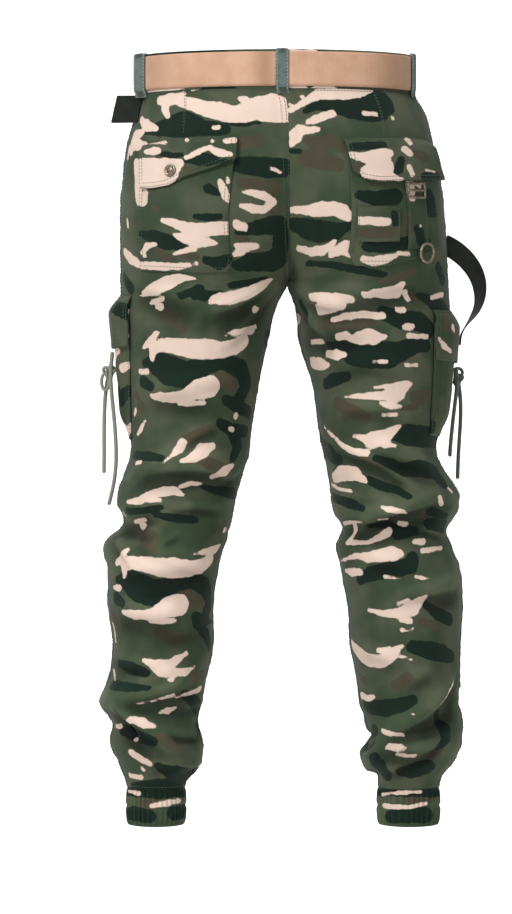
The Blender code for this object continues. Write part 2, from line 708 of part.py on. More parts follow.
# The lace's free ends at each cargo pocket, from under the flap down.
LACE_DIAMETER = 5.0
LACES = {
    "lace_left_1": (
        (204.6, 2.0, -338), (204.9, 2.0, -343), (205.6, 1.8, -349), (206.9, 1.4, -356), (208.7, 0.8, -364),
        (210.6, 0.0, -373), (212.2, -0.8, -383), (213.4, -1.5, -393), (214.1, -1.9, -404), (214.5, -1.6, -416),
        (214.7, -1.0, -429), (214.7, -0.4, -442), (214.6, 0.2, -456), (214.7, 0.8, -470), (214.8, 1.5, -484),
    ),
    "lace_left_2": (
        (204.7, 9.0, -338), (205.0, 9.1, -344), (205.6, 9.4, -351), (206.3, 9.9, -359), (206.5, 10.4, -368),
        (206.0, 10.8, -379), (204.9, 11.1, -392), (203.5, 11.3, -406), (202.1, 11.4, -420), (201.0, 11.4, -434),
        (200.2, 11.2, -448), (199.9, 11.0, -462), (200.4, 10.6, -476), (201.8, 10.0, -489), (203.9, 9.4, -501),
        (206.4, 9.0, -512), (209.0, 8.8, -522),
    ),
    "lace_right_1": (
        (-207.3, 2.0, -356.5), (-207.7, 2.0, -361), (-208.5, 1.9, -366), (-209.7, 1.7, -372), (-211.0, 1.5, -379),
        (-212.1, 1.2, -387), (-212.9, 0.8, -396), (-213.2, 0.4, -406), (-213.1, 0.1, -416), (-212.7, 0.0, -426),
        (-212.0, 0.0, -437), (-211.3, 0.1, -448), (-210.6, 0.3, -459), (-210.1, 0.5, -470), (-209.7, 0.7, -481),
        (-209.4, 1.0, -491),
    ),
    "lace_right_2": (
        (-207.4, 9.0, -356.5), (-207.7, 9.1, -361), (-208.1, 9.4, -367), (-208.2, 9.8, -374), (-207.8, 10.2, -382),
        (-207.1, 10.6, -390), (-206.1, 10.8, -398), (-205.1, 10.9, -406), (-204.1, 11.0, -414), (-203.2, 11.0, -422),
        (-202.3, 10.9, -431), (-201.4, 10.8, -440), (-200.7, 10.6, -448), (-200.1, 10.4, -456), (-199.7, 10.2, -464),
    ),
}


def laces():
    """The four free ends of lace."""
    for name, route in LACES.items():
        tube(name, np.array(route), LACE_DIAMETER / 2, 6, "cord")


def main():
    for old in list(bpy.data.objects):
        bpy.data.objects.remove(old)
    for side, word in ((LEFT, "left"), (RIGHT, "right")):
        panel(f"back_{word}", side, 1)
        panel(f"front_{word}", side, -1)
    waist_pieces()
    back_pieces()
    snap()
    strap_ring()
    cargo_pieces()
    cuffs()
    webbing()
    laces()


main()
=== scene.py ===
"""Camouflage cargo trousers with their belt, as worn, seen from behind.

Sizes are in millimetres and degrees until a mesh is made. The frame has its origin at the
centre of the waist opening, +Z up, the front towards -Y and the wearer's left towards +X.
"""

import json
import math

import bmesh
import bpy
import numpy as np
from mathutils import Vector, noise
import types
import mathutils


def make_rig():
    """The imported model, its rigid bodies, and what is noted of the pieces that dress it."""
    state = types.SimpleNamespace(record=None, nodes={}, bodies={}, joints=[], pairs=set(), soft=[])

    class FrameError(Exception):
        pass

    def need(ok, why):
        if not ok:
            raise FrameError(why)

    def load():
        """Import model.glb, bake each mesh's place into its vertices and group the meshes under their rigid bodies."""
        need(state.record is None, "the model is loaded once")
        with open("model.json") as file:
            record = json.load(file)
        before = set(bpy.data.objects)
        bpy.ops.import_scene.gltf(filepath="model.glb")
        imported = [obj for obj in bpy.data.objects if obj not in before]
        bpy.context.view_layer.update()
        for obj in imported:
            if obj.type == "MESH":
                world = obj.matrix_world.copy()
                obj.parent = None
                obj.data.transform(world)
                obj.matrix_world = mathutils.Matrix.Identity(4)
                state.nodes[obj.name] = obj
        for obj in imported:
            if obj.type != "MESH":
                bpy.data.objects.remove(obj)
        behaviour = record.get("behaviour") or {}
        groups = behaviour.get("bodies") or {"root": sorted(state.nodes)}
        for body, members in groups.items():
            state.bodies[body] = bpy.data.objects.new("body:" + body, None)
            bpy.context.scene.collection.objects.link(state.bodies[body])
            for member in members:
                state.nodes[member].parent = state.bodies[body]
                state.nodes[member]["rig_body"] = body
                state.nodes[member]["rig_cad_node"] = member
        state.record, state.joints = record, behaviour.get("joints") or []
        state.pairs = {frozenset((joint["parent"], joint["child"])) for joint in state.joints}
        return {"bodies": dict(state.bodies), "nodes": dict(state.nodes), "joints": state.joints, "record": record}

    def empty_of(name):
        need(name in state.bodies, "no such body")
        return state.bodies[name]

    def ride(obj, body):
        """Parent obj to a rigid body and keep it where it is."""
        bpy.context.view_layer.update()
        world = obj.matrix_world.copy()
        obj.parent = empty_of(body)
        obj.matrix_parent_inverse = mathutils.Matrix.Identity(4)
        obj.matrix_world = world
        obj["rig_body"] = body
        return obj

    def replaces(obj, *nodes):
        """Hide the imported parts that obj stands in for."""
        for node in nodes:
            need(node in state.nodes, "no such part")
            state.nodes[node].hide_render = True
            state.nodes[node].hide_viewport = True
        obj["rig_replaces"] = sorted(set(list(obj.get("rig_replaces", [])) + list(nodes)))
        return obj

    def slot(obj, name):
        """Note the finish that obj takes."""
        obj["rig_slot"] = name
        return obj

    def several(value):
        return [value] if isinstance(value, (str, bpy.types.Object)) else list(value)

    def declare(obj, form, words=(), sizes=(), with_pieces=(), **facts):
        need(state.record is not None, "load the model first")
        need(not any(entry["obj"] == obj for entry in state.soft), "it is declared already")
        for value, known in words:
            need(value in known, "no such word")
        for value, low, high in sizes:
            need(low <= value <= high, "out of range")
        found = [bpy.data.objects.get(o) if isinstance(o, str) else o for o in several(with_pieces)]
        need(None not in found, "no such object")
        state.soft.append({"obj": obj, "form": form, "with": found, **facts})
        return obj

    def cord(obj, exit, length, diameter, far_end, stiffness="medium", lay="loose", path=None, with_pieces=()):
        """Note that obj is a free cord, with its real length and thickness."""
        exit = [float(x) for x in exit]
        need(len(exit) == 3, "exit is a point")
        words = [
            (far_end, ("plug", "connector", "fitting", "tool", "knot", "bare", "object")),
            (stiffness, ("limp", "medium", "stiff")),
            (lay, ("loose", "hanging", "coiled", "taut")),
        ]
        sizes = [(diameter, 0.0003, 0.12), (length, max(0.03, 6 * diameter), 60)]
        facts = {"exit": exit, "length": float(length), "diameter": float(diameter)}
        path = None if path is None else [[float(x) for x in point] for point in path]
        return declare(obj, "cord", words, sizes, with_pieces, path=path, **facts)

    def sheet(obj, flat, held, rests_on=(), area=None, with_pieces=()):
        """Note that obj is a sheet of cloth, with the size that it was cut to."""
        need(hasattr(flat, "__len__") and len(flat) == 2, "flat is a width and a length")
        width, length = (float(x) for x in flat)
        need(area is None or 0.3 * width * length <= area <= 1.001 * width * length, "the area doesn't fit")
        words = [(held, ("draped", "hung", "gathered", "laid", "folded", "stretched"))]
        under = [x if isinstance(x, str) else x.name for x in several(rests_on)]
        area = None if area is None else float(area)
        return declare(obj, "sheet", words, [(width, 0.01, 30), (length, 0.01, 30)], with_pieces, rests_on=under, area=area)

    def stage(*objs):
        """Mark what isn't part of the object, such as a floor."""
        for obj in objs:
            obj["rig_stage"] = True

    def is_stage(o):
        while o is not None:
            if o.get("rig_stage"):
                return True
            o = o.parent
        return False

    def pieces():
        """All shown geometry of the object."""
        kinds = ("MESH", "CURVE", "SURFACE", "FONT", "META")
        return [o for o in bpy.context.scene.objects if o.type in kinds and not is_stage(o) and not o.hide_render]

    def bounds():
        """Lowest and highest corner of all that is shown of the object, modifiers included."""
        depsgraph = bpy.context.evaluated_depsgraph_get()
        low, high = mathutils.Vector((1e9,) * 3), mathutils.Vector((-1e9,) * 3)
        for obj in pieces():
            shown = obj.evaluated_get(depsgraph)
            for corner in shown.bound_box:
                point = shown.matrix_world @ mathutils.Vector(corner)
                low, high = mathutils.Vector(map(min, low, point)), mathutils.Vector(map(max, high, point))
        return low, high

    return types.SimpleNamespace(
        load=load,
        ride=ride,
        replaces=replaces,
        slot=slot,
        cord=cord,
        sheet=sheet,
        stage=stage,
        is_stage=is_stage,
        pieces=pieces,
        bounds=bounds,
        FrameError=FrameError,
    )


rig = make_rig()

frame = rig.load()
cad_box = [list(corner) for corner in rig.bounds()]

# ---------------------------------------------------------------- view, backdrop and light
# The camera stands 5 m behind the trousers, level with the thighs, and its shift lowers the
# picture to the ankles. A pale floor curves up into a pale wall, under soft studio lamps.
MM = 0.001
FULL_TURN = 2 * math.pi
VIEW_DISTANCE = 5.0
PICTURE_HEIGHT = 1.0968
PICTURE_MIDDLE = (0.0324, -0.4644)
EYE_HEIGHT = -0.35
FILM_HEIGHT = 24

camera = bpy.data.objects.new("camera", bpy.data.cameras.new("camera"))
bpy.context.scene.collection.objects.link(camera)
camera.location = (PICTURE_MIDDLE[0], VIEW_DISTANCE, EYE_HEIGHT)
camera.rotation_euler = (math.radians(90), 0, math.radians(180))
camera.data.sensor_fit = "VERTICAL"
camera.data.sensor_height = FILM_HEIGHT
camera.data.lens = FILM_HEIGHT * VIEW_DISTANCE / PICTURE_HEIGHT
camera.data.shift_y = (PICTURE_MIDDLE[1] - EYE_HEIGHT) / PICTURE_HEIGHT
bpy.context.scene.camera = camera


def linear(hex_code):
    """A linear colour from an sRGB hex code."""
    values = [int(hex_code[i : i + 2], 16) / 255 for i in (0, 2, 4)]
    return [v / 12.92 if v <= 0.04045 else ((v + 0.055) / 1.055) ** 2.4 for v in values] + [1]


def give(made, inputs):
    """Sets a node's inputs, each to a value or to the output that feeds it."""
    for name, value in inputs.items():
        socket = made.inputs[name if isinstance(name, int) else name.replace("_", " ")]
        if isinstance(value, bpy.types.NodeSocket):
            made.id_data.links.new(value, socket)
        else:
            socket.default_value = value


def node(shader, kind, *inputs, output=0, **others):
    """Adds a node beside the shader, and returns one of its outputs.

    Its inputs come in their order or by their capitalised names. Lower-case names are settings.
    """
    made = shader.id_data.nodes.new("ShaderNode" + kind)
    named = {name: value for name, value in others.items() if name[0].isupper()}
    for name in sorted(others.keys() - named.keys()):
        setattr(made, name, others[name])
    give(made, {**dict(enumerate(inputs)), **named})
    return made.outputs[output]


def new_material(name, **inputs):
    """A material and its Principled BSDF, which has these inputs, with spaces as underscores."""
    made = bpy.data.materials.new(name)
    made.use_nodes = True
    shader = made.node_tree.nodes["Principled BSDF"]
    give(shader, inputs)
    return made, shader


def new_object(name, points, faces, materials, smooth_to=50):
    """Makes a smooth-shaded mesh object from points in millimetres."""
    mesh = bpy.data.meshes.new(name)
    mesh.from_pydata((np.asarray(points, float).reshape(-1, 3) * MM).tolist(), [], faces)
    for each in materials:
        mesh.materials.append(each)
    mesh.shade_smooth()
    mesh.set_sharp_from_angle(angle=math.radians(smooth_to))
    made = bpy.data.objects.new(name, mesh)
    bpy.context.scene.collection.objects.link(made)
    return made


FLOOR = -1.0
paper, _ = new_material("white_paper", Base_Color=linear("f4f3f1"), Roughness=0.9)
turn = np.linspace(0, math.pi / 2, 13)
sweep = [(5.0, 0.0)] + [(-3.2 - 1.5 * math.sin(a), 1.5 * (1 - math.cos(a))) for a in turn] + [(-4.7, 6.0)]
sheet_points = [(x / MM, y / MM, (FLOOR + z) / MM) for y, z in sweep for x in (-9, 9)]
sheet_faces = [(2 * i, 2 * i + 1, 2 * i + 3, 2 * i + 2) for i in range(len(sweep) - 1)]
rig.stage(new_object("backdrop", sheet_points, sheet_faces, [paper]))

LAMPS = (  # name, place, aim, size and watts
    ("key", (2.0, 2.7, 2.0), (0.0, 0.0, -0.45), 0.9, 155),
    ("fill", (-2.4, 3.4, 0.2), (0.0, 0.0, -0.45), 2.0, 42),
    ("top", (0.2, 1.0, 2.8), (0.0, 0.0, -0.45), 1.2, 55),
    ("front", (0.6, -3.4, 1.6), (0.0, 0.0, -0.45), 2.4, 60),
    ("backdrop", (0.0, -1.6, 3.2), (0.0, -4.7, 0.0), 3.0, 150),
)
for name, place, aim, size, watts in LAMPS:
    lamp = bpy.data.objects.new(name, bpy.data.lights.new(name, "AREA"))
    lamp.data.energy, lamp.data.size, lamp.location = watts, size, place
    lamp.rotation_euler = (Vector(aim) - lamp.location).to_track_quat("-Z", "Y").to_euler()
    bpy.context.scene.collection.objects.link(lamp)
world = bpy.data.worlds.new("studio")
world.use_nodes = True
give(world.node_tree.nodes["Background"], {"Color": linear("f7f8fa"), "Strength": 0.46})
bpy.context.scene.world = world
bpy.context.scene.view_settings.view_transform = "Standard"

# ---------------------------------------------------------------- laces
# Round braided polyester cords, 5 mm thick. Two free ends come from under each cargo flap
# and hang beside the thigh. They are limp, with their cut ends melted.
LACE_DIAMETER = 5.0
LACES = {
    "lace_left_1": """
        204.6 2 -338, 204.9 2 -343, 205.6 1.8 -349, 206.9 1.4 -356, 208.7 0.8 -364, 210.6 0 -373,
        212.2 -0.8 -383, 213.4 -1.5 -393, 214.1 -1.9 -404, 214.5 -1.6 -416, 214.7 -1 -429,
        214.7 -0.4 -442, 214.6 0.2 -456, 214.7 0.8 -470, 214.8 1.5 -484
    """,
    "lace_left_2": """
        204.7 9 -338, 205 9.1 -344, 205.6 9.4 -351, 206.3 9.9 -359, 206.5 10.4 -368, 206 10.8 -379,
        204.9 11.1 -392, 203.5 11.3 -406, 202.1 11.4 -420, 201 11.4 -434, 200.2 11.2 -448, 199.9 11 -462,
        200.4 10.6 -476, 201.8 10 -489, 203.9 9.4 -501, 206.4 9 -512, 209 8.8 -522
    """,
    "lace_right_1": """
        -207.3 2 -356.5, -207.7 2 -361, -208.5 1.9 -366, -209.7 1.7 -372, -211 1.5 -379, -212.1 1.2 -387,
        -212.9 0.8 -396, -213.2 0.4 -406, -213.1 0.1 -416, -212.7 0 -426, -212 0 -437, -211.3 0.1 -448,
        -210.6 0.3 -459, -210.1 0.5 -470, -209.7 0.7 -481, -209.4 1 -491
    """,
    "lace_right_2": """
        -207.4 9 -356.5, -207.7 9.1 -361, -208.1 9.4 -367, -208.2 9.8 -374, -207.8 10.2 -382,
        -207.1 10.6 -390, -206.1 10.8 -398, -205.1 10.9 -406, -204.1 11 -414, -203.2 11 -422,
        -202.3 10.9 -431, -201.4 10.8 -440, -200.7 10.6 -448, -200.1 10.4 -456, -199.7 10.2 -464
    """,
}
STRANDS = 8
STRAND_RELIEF = 0.22
BRAID_LENGTH = 9.0  # along the cord, for one strand to go round it
LACE_STEP = 0.7


def chains(text):
    """Arrays of rows. A comma parts the rows, and a slash one chain of rows from the next."""
    return [np.array([row.split() for row in chain.split(",")], float) for chain in text.split("/")]


def smooth(x, xs, ys):
    """Reads ys at x on a smooth curve through the rows (xs, ys)."""
    slope = np.gradient(ys, xs)
    i = np.clip(np.searchsorted(xs, x) - 1, 0, len(xs) - 2)
    step = xs[i + 1] - xs[i]
    t = (x - xs[i]) / step
    before = (1 + 2 * t) * (1 - t) ** 2 * ys[i] + t * (1 - t) ** 2 * step * slope[i]
    after = t**2 * (3 - 2 * t) * ys[i + 1] - t**2 * (1 - t) * step * slope[i + 1]
    return before + after


def unit(vectors):
    """These vectors, made one long."""
    return vectors / np.linalg.norm(vectors, axis=-1, keepdims=True)


def length_along(line):
    """How far along a line each of its points lies."""
    return np.concatenate([[0], np.linalg.norm(np.diff(line, axis=0), axis=1).cumsum()])


def grid_faces(rows, columns, ring=False):
    """Quads over a grid of points, whose last column joins its first where it is a ring."""
    here = np.arange(rows * columns).reshape(rows, columns)
    beside = np.roll(here, -1, axis=1)
    quads = np.stack([here[:-1], beside[:-1], beside[1:], here[1:]], axis=-1)
    return (quads if ring else quads[:, :-1]).reshape(-1, 4).tolist()


def tube(path, radius, sides, closed=False):
    """Points and faces of a bar along a path. Its radius may vary along it and round it."""
    ahead = unit(np.roll(path, -1, 0) - np.roll(path, 1, 0) if closed else np.gradient(path, axis=0))
    first = unit(np.cross(ahead, (0.31, 0.95, 0.05)))
    second = np.cross(ahead, first)
    angle = np.linspace(0, FULL_TURN, sides + 1)[None, :-1, None]
    points = path[:, None] + radius * (np.cos(angle) * first[:, None] + np.sin(angle) * second[:, None])
    faces = grid_faces(len(path), sides, ring=True)
    last = (len(path) - 1) * sides
    if closed:
        faces += [(last + c, last + (c + 1) % sides, (c + 1) % sides, c) for c in range(sides)]
    else:
        faces += [list(range(sides))[::-1], list(range(last, last + sides))]
    return points, faces


def braided(route, diameter, sides=20):
    """Points and faces of a cord with crossing ridges and rounded ends, and its middle line."""
    along = length_along(route)
    places = np.linspace(0, along[-1], max(2, round(along[-1] / LACE_STEP)))
    path = np.stack([smooth(places, along, route[:, k]) for k in range(3)], axis=-1)
    places = places[:, None]
    angle = np.linspace(0, FULL_TURN, sides + 1)[None, :-1]
    lay = FULL_TURN * places / BRAID_LENGTH
    ridge = np.maximum(np.cos(STRANDS / 2 * (angle + lay)), np.cos(STRANDS / 2 * (angle - lay)))
    end = np.minimum(places, places[-1] - places) / (diameter / 2)
    rounded = np.sqrt(np.clip(1 - (1 - np.clip(end, 0, 1)) ** 2, 0.02, 1))
    radius = (diameter / 2 - STRAND_RELIEF * (1 - ridge)) * rounded
    return *tube(path, radius[..., None], sides), path


def piece(name, points, faces, materials, slot, stands_for=None, smooth_to=50):
    """Makes a closed piece with its faces turned outwards, and ties it to the frame."""
    made = new_object(name, points, faces, materials, smooth_to)
    shape = bmesh.new()
    shape.from_mesh(made.data)
    bmesh.ops.recalc_face_normals(shape, faces=shape.faces)
    shape.to_mesh(made.data)
    shape.free()
    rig.ride(made, "root")
    if stands_for:
        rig.replaces(made, stands_for)
    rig.slot(made, slot)
    return made


def cord_material(name, light, dark):
    """Braided polyester: matt, with dark gaps between its strands and a slight fleck."""
    made, shader = new_material(name, Roughness=0.82, Sheen_Weight=0.2)
    place = node(shader, "TexCoord", output="Object")
    fleck = node(shader, "TexNoise", Vector=place, Scale=900.0, Detail=2.0)
    tone = node(shader, "MixRGB", fleck, linear(dark), linear(light))
    bump = node(shader, "Bump", Height=fleck, Distance=0.0002, Strength=0.5)
    give(shader, {"Base Color": tone, "Normal": bump})
    return made


# The right laces hang in shade; their material is the same cord as the left's, painted darker for that shade.
lace_colours = {
    "left": cord_material("braided_polyester_grey", "7d8173", "3e4339"),
    "right": cord_material("braided_polyester_green", "47534a", "1d2620"),
}
KNOT_CORD = 4.2  # pulled a little thinner
KNOTS = {
    "left": ((208.5, 5.5, -362), 2.5, (213.0, 6.0, -374), (4.5, 10.0)),
    "right": ((-208.5, 5.5, -371), 2.4, (-209.5, 6.0, -363), (5.5, 5.0)),
}  # each: the knot's place and scale, and the middle and reach of the loop beside it
knots_on = {}
turn = np.linspace(-0.25, FULL_TURN + 0.25, 64)
trefoil = np.stack(
    [np.sin(turn) + 2 * np.sin(2 * turn), -np.sin(3 * turn), np.cos(turn) - 2 * np.cos(2 * turn)], axis=-1
)
for word, (knot_place, scale, loop_place, (wide, high)) in KNOTS.items():
    oval = np.stack([wide * np.cos(turn), 1.2 * np.sin(2 * turn), high * np.sin(turn)], axis=-1)
    knots_on[word] = []
    for kind, route in (("knot", knot_place + scale * trefoil), ("bow", loop_place + oval)):
        points, faces, _ = braided(route, KNOT_CORD)
        knot = piece(f"lace_{kind}_{word}", points, faces, [lace_colours[word]], "cord", smooth_to=80)
        knots_on[word].append(knot)
for name, text in LACES.items():
    word = name.split("_")[1]
    points, faces, path = braided(chains(text)[0], LACE_DIAMETER)
    lace = piece(f"braided_{name}", points, faces, [lace_colours[word]], "cord", name, 80)
    metres = path * MM
    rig.cord(
        lace, exit=tuple(metres[0]), length=float(length_along(metres)[-1]), diameter=LACE_DIAMETER * MM,
        far_end="bare", stiffness="limp", lay="hanging", path=[tuple(p) for p in metres],
        with_pieces=knots_on[word] if name.endswith("1") else [],
    )

# ---------------------------------------------------------------- the cut and hang of the cloth
# The trousers are cotton twill, 1.5 mm thick where they are sewn, and hang over the hips, a
# loose thigh and a narrow ankle. A place on them has a bearing, from 0 at the side seam to
# 180 at the centre back or inseam and -180 in front, and a drop below the waist's middle.
LEFT, RIGHT = 1, -1
SIDES = ((LEFT, "left"), (RIGHT, "right"))
CLOTH = 1.5
SEAM = 0.3
REST = 0.6
WAIST_SEAM, CUFF_SEAM = 30.0, 858.0


def table(columns, text):
    """One array for each named column."""
    return dict(zip(columns.split(), chains(text)[0].T))


# Hips, from the foot of the waistband to the crotch. seat and fly are the drops at the
# centre back and centre front. left and right are the side seams' distances from x = 0 and
# middle is the centre seam's x. back and front are the fullest depths. The turns are how
# far a section bends from the side seam to the centre seam: 90 is a quarter of an oval,
# and 180 at the crotch is half of the thigh's own oval.
HIPS = table("drop seat fly left right middle back front seat_turn fly_turn", """
    30 29 34 172 156 0 114 104 91 91, 50 50 50 176 168 -4 120 106 97 96,
    85 85 85 185 178 -6 127 107 105 103, 120 120 120 190 185 -7 131 106 113 110,
    150 152 151 193 190 -7 131 104 121 118, 180 186 184 194 193 -7 128 102 131 129,
    205 216 214 194 195 -7 124 100 143 141, 228 238 237 194 196 -7 119 99 158 157,
    248 250 250 194 197 -6 114 98 171 171, 266 256 256 194 198 -5 110 97 180 180
""")

# Legs, from below the crotch to the cuff seam. inseam is the drop at the inseam, and outer
# and inner are the distances of the side seam and the inseam from x = 0.
LEG_COLUMNS = "drop inseam outer inner back front"
LEGS = {
    LEFT: table(LEG_COLUMNS, """
        290 284 194 9 107 97, 330 326 190 19 103 96, 380 378 186 30 98 94, 430 429 183 38 93 92,
        460 460 182 42 90 91, 490 490 192 50 88 90, 518 518 199 57 86 89, 545 545 190 64 80 88,
        568 568 212 70 84 84, 600 600 209 79 89 76, 640 640 209 84 92 68, 690 690 203 84 91 62,
        730 730 208 93 88 58, 757 757 219 97 90 60, 785 785 201 104 80 50, 810 810 205 96 82 50,
        832 832 195 99 72 42, 848 848 188 113 62 33, 858 858 186 118 58 30
    """),
    RIGHT: table(LEG_COLUMNS, """
        290 284 199 15 107 97, 330 326 197 20 103 96, 380 378 192 36 98 94, 430 429 187 43 93 92,
        456 456 183 48 90 91, 480 480 193 53 88 90, 505 505 210 57 88 89, 528 528 209 61 86 88,
        550 550 196 73 80 86, 568 568 200 65 84 82, 592 592 209 69 88 77, 636 636 214 77 92 68,
        690 690 211 81 91 62, 730 730 210 89 88 58, 757 757 209 92 86 56, 785 785 215 102 84 54,
        798 798 215 108 82 52, 814 814 211 93 80 50, 832 832 202 97 72 42, 846 846 189 112 62 34,
        858 858 186 114 58 31
    """),
}

# The largest folds. Each is a soft trough that runs through three places on the cloth, its
# start, middle and end. Its columns are: bearing_1 drop_1 bearing_2 drop_2 bearing_3 drop_3
# width depth lip. width is from its line to where it fades, depth is how far it goes in, and
# lip is how far the cloth rolls out beside it, above the trough. A slash parts the folds of
# the back from those of the front.
FOLDS = {
    LEFT: """
        36 270 62 286 96 301 12 4 2, 104 311 124 303 152 291 12 4 2, 48 402 78 400 110 407 13 4 2,
        46 492 85 489 140 492 13 7 4, 20 552 44 547 64 534 11 6 4, 45 608 88 608 150 608 12 4 3,
        32 658 75 664 122 661 13 5 3, 46 762 88 757 150 744 12 6 4, 26 770 60 792 92 814 12 7 5 /
        -150 300 -110 312 -70 330 14 4 3, -40 478 -90 470 -140 480 13 4 3,
        -30 545 -85 556 -150 545 13 6 4, -30 640 -90 650 -150 640 13 5 3, -20 735 -80 745 -150 728 13 6 4,
        -20 800 -90 790 -160 804 12 6 5
    """,
    RIGHT: """
        150 310 96 288 44 262 13 4 2, 168 334 130 330 90 326 13 4 2, 104 466 72 476 40 495 12 5 3,
        150 554 96 547 44 530 13 7 5, 64 640 46 634 20 628 11 4 3, 30 756 66 778 128 808 12 7 5,
        128 818 96 820 62 815 10 6 4 /
        -150 302 -110 316 -70 336 14 4 3, -35 470 -90 482 -145 472 13 4 3,
        -30 552 -90 545 -150 556 13 6 4, -30 655 -90 640 -150 652 13 5 3, -20 738 -80 726 -150 744 13 6 4,
        -20 790 -90 802 -160 792 12 6 5
    """,
}

# Sharper creases, where the cloth is squeezed at the knee, calf and ankle and pulled at the
# crotch. They are placed on the back as it is seen from behind, by columns out_1 drop_1 out_2
# drop_2 out_3 drop_3 width depth lip, where out is the distance from x = 0. Each front has
# its neighbour's creases, mirrored.
CREASES = {
    LEFT: """
        172 497 122 489 64 495 5 3.2 1.6, 136 535 105 531 72 533 5 2.2 1.4,
        190 552 177 557 160 563 5 3 1.8, 146 576 136 569 124 564 5 1.8 1, 206 566 196 582 186 602 5 2 1.4,
        172 574 148 590 96 607 8 2 1.2, 126 462 98 444 72 430 6 2.2 1.4, 84 504 66 498 52 486 6 1.8 1.2,
        200 716 176 722 150 725 7 2.6 1.8, 180 740 156 737 130 731 7 2.2 1.5,
        200 762 184 790 158 825 4 2.8 1.6, 134 801 117 804 98 803 5 3.4 2.4,
        122 842 108 842 96 838 5 3 1.6, 160 838 146 842 130 840 5 1.8 1.2, 160 690 122 686 92 676 9 2 1.2,
        142 772 116 771 94 764 6 2.2 1.4, 16 262 46 284 92 300 7 2.4 1.6, 14 276 36 308 66 336 7 2.2 1.4,
        180 640 150 632 112 636 8 1.6 1, 60 392 90 384 130 390 9 1.6 1
    """,
    RIGHT: """
        62 458 110 480 150 506 7 3.2 2.8, 84 564 125 541 187 520 5 3.8 2.6,
        162 555 174 558 188 562 4 2.8 1.4, 104 597 122 599 146 598 8 2 1.2,
        136 643 170 636 207 627 7 2.8 2.2, 208 728 184 773 122 806 6 3.8 2.8,
        204 754 192 780 160 794 5 2.8 1.8, 188 812 160 834 124 856 6 3 1.8,
        90 700 112 711 138 717 8 1.8 1.2, 88 805 100 812 114 808 5 3.4 2.4,
        98 842 110 845 124 841 5 2.4 1.4, 148 743 166 738 184 724 8 1.8 1.2,
        70 522 96 520 130 528 8 1.8 1.2, 14 268 50 292 104 296 7 2.4 1.6, 16 282 36 318 60 350 7 2.2 1.4,
        60 372 100 362 140 372 9 1.6 1, 64 420 100 416 140 424 8 1.8 1
    """,
}
CREASE_SHIFT = 8.0  # down the front, from its twin behind
SQUEEZE = 1.35  # how hard the creases are pressed in


def ease(t):
    """Goes smoothly from 0 to 1 as t does."""
    t = np.clip(t, 0, 1)
    return t * t * (3 - 2 * t)


def bell(x, width):
    """1 at x = 0, fading to nothing a few widths away."""
    return np.exp(-((x / width) ** 2))


def sections_of(side):
    """Joins the hips and one leg into one table of sections, with x growing outwards."""
    inseam = LEGS[side]["inseam"]
    leg = {**LEGS[side], "seat": inseam, "fly": inseam, "seat_turn": 180, "fly_turn": 180}
    hips = {**HIPS, "outer": HIPS["left" if side == LEFT else "right"], "inner": side * HIPS["middle"]}
    names = "drop seat fly outer inner back front seat_turn fly_turn".split()
    return {name: np.concatenate([hips[name], leg[name] + 0 * leg["drop"]]) for name in names}


SECTIONS = {side: sections_of(side) for side, _ in SIDES}


def section_at(side, drop, names):
    """What these columns of the sections say at this drop."""
    rows = SECTIONS[side]
    return np.array([smooth(drop, rows["drop"], rows[name]) for name in names.split()])


def base(side, bearing, drop):
    """The unfolded outside of the cloth at these places."""
    outer, inner, back, front, seat, fly, seat_turn, fly_turn = section_at(
        side, drop, "outer inner back front seat fly seat_turn fly_turn"
    )
    behind = bearing >= 0
    turn = np.radians(np.where(behind, seat_turn, fly_turn))
    share = np.abs(bearing) / 180
    half_width = (outer - inner) / (1 - np.cos(turn))
    x = outer - half_width * (1 - np.cos(turn * share))
    y = (back - front) / 2 + np.where(behind, 1, -1) * (back + front) / 2 * np.sin(turn * share)
    z = -(drop + (np.where(behind, seat, fly) - drop) * ease(share))
    return np.stack([side * x, y, z], axis=-1)


def normal_of(surface, side, bearing, drop):
    """The outward normal of a surface, from points a little to each side."""
    degrees, millimetres = 0.5, 1.5
    across = surface(side, bearing + degrees, drop) - surface(side, bearing - degrees, drop)
    down = surface(side, bearing, drop + millimetres) - surface(side, bearing, drop - millimetres)
    return unit(side * np.cross(down, across))


def bearing_behind(side, out, drop):
    """The bearing of a place on the back that is this far from x = 0."""
    outer, inner, turn = section_at(side, drop, "outer inner seat_turn")
    turn = np.radians(turn)
    half_width = (outer - inner) / (1 - np.cos(turn))
    return 180 * np.clip(np.arccos(np.clip(1 - (outer - out) / half_width, -1, 1)) / turn, 0, 1)


def seen_place(side, out, drop):
    """The bearing and drop of a place on the back that the camera sees this far out and down."""
    eye = -EYE_HEIGHT / MM
    nearer, true_drop = 1.0, np.array(drop, float)
    for _ in range(4):
        true_out = side * (PICTURE_MIDDLE[0] / MM * (1 - nearer)) + out * nearer
        bearing = bearing_behind(side, true_out, true_drop)
        place = base(side, bearing, true_drop)
        nearer = 1 - place[..., 1] * MM / VIEW_DISTANCE
        true_drop = true_drop + eye + (drop - eye) * nearer + place[..., 2]
    return bearing, true_drop, true_out


def calm(side, bearing, drop):
    """1 where the cloth folds freely, and near 0 under a pocket and at the centre seams."""
    in_cargo = ease((70 - np.abs(bearing + 26)) / 10) * ease((106 - np.abs(drop - 363)) / 14)
    in_back = ease((66 - np.abs(bearing - 90)) / 10) * ease((104 - np.abs(drop - 168)) / 14)
    at_centre = ease((180 - np.abs(bearing)) / 24)
    hips = ease((300 - drop) / 40)
    ends = ease((drop - WAIST_SEAM) / 25) * ease((CUFF_SEAM - drop) / 16)
    return (1 - in_cargo) * (1 - in_back) * (1 - hips * (1 - at_centre)) * ends


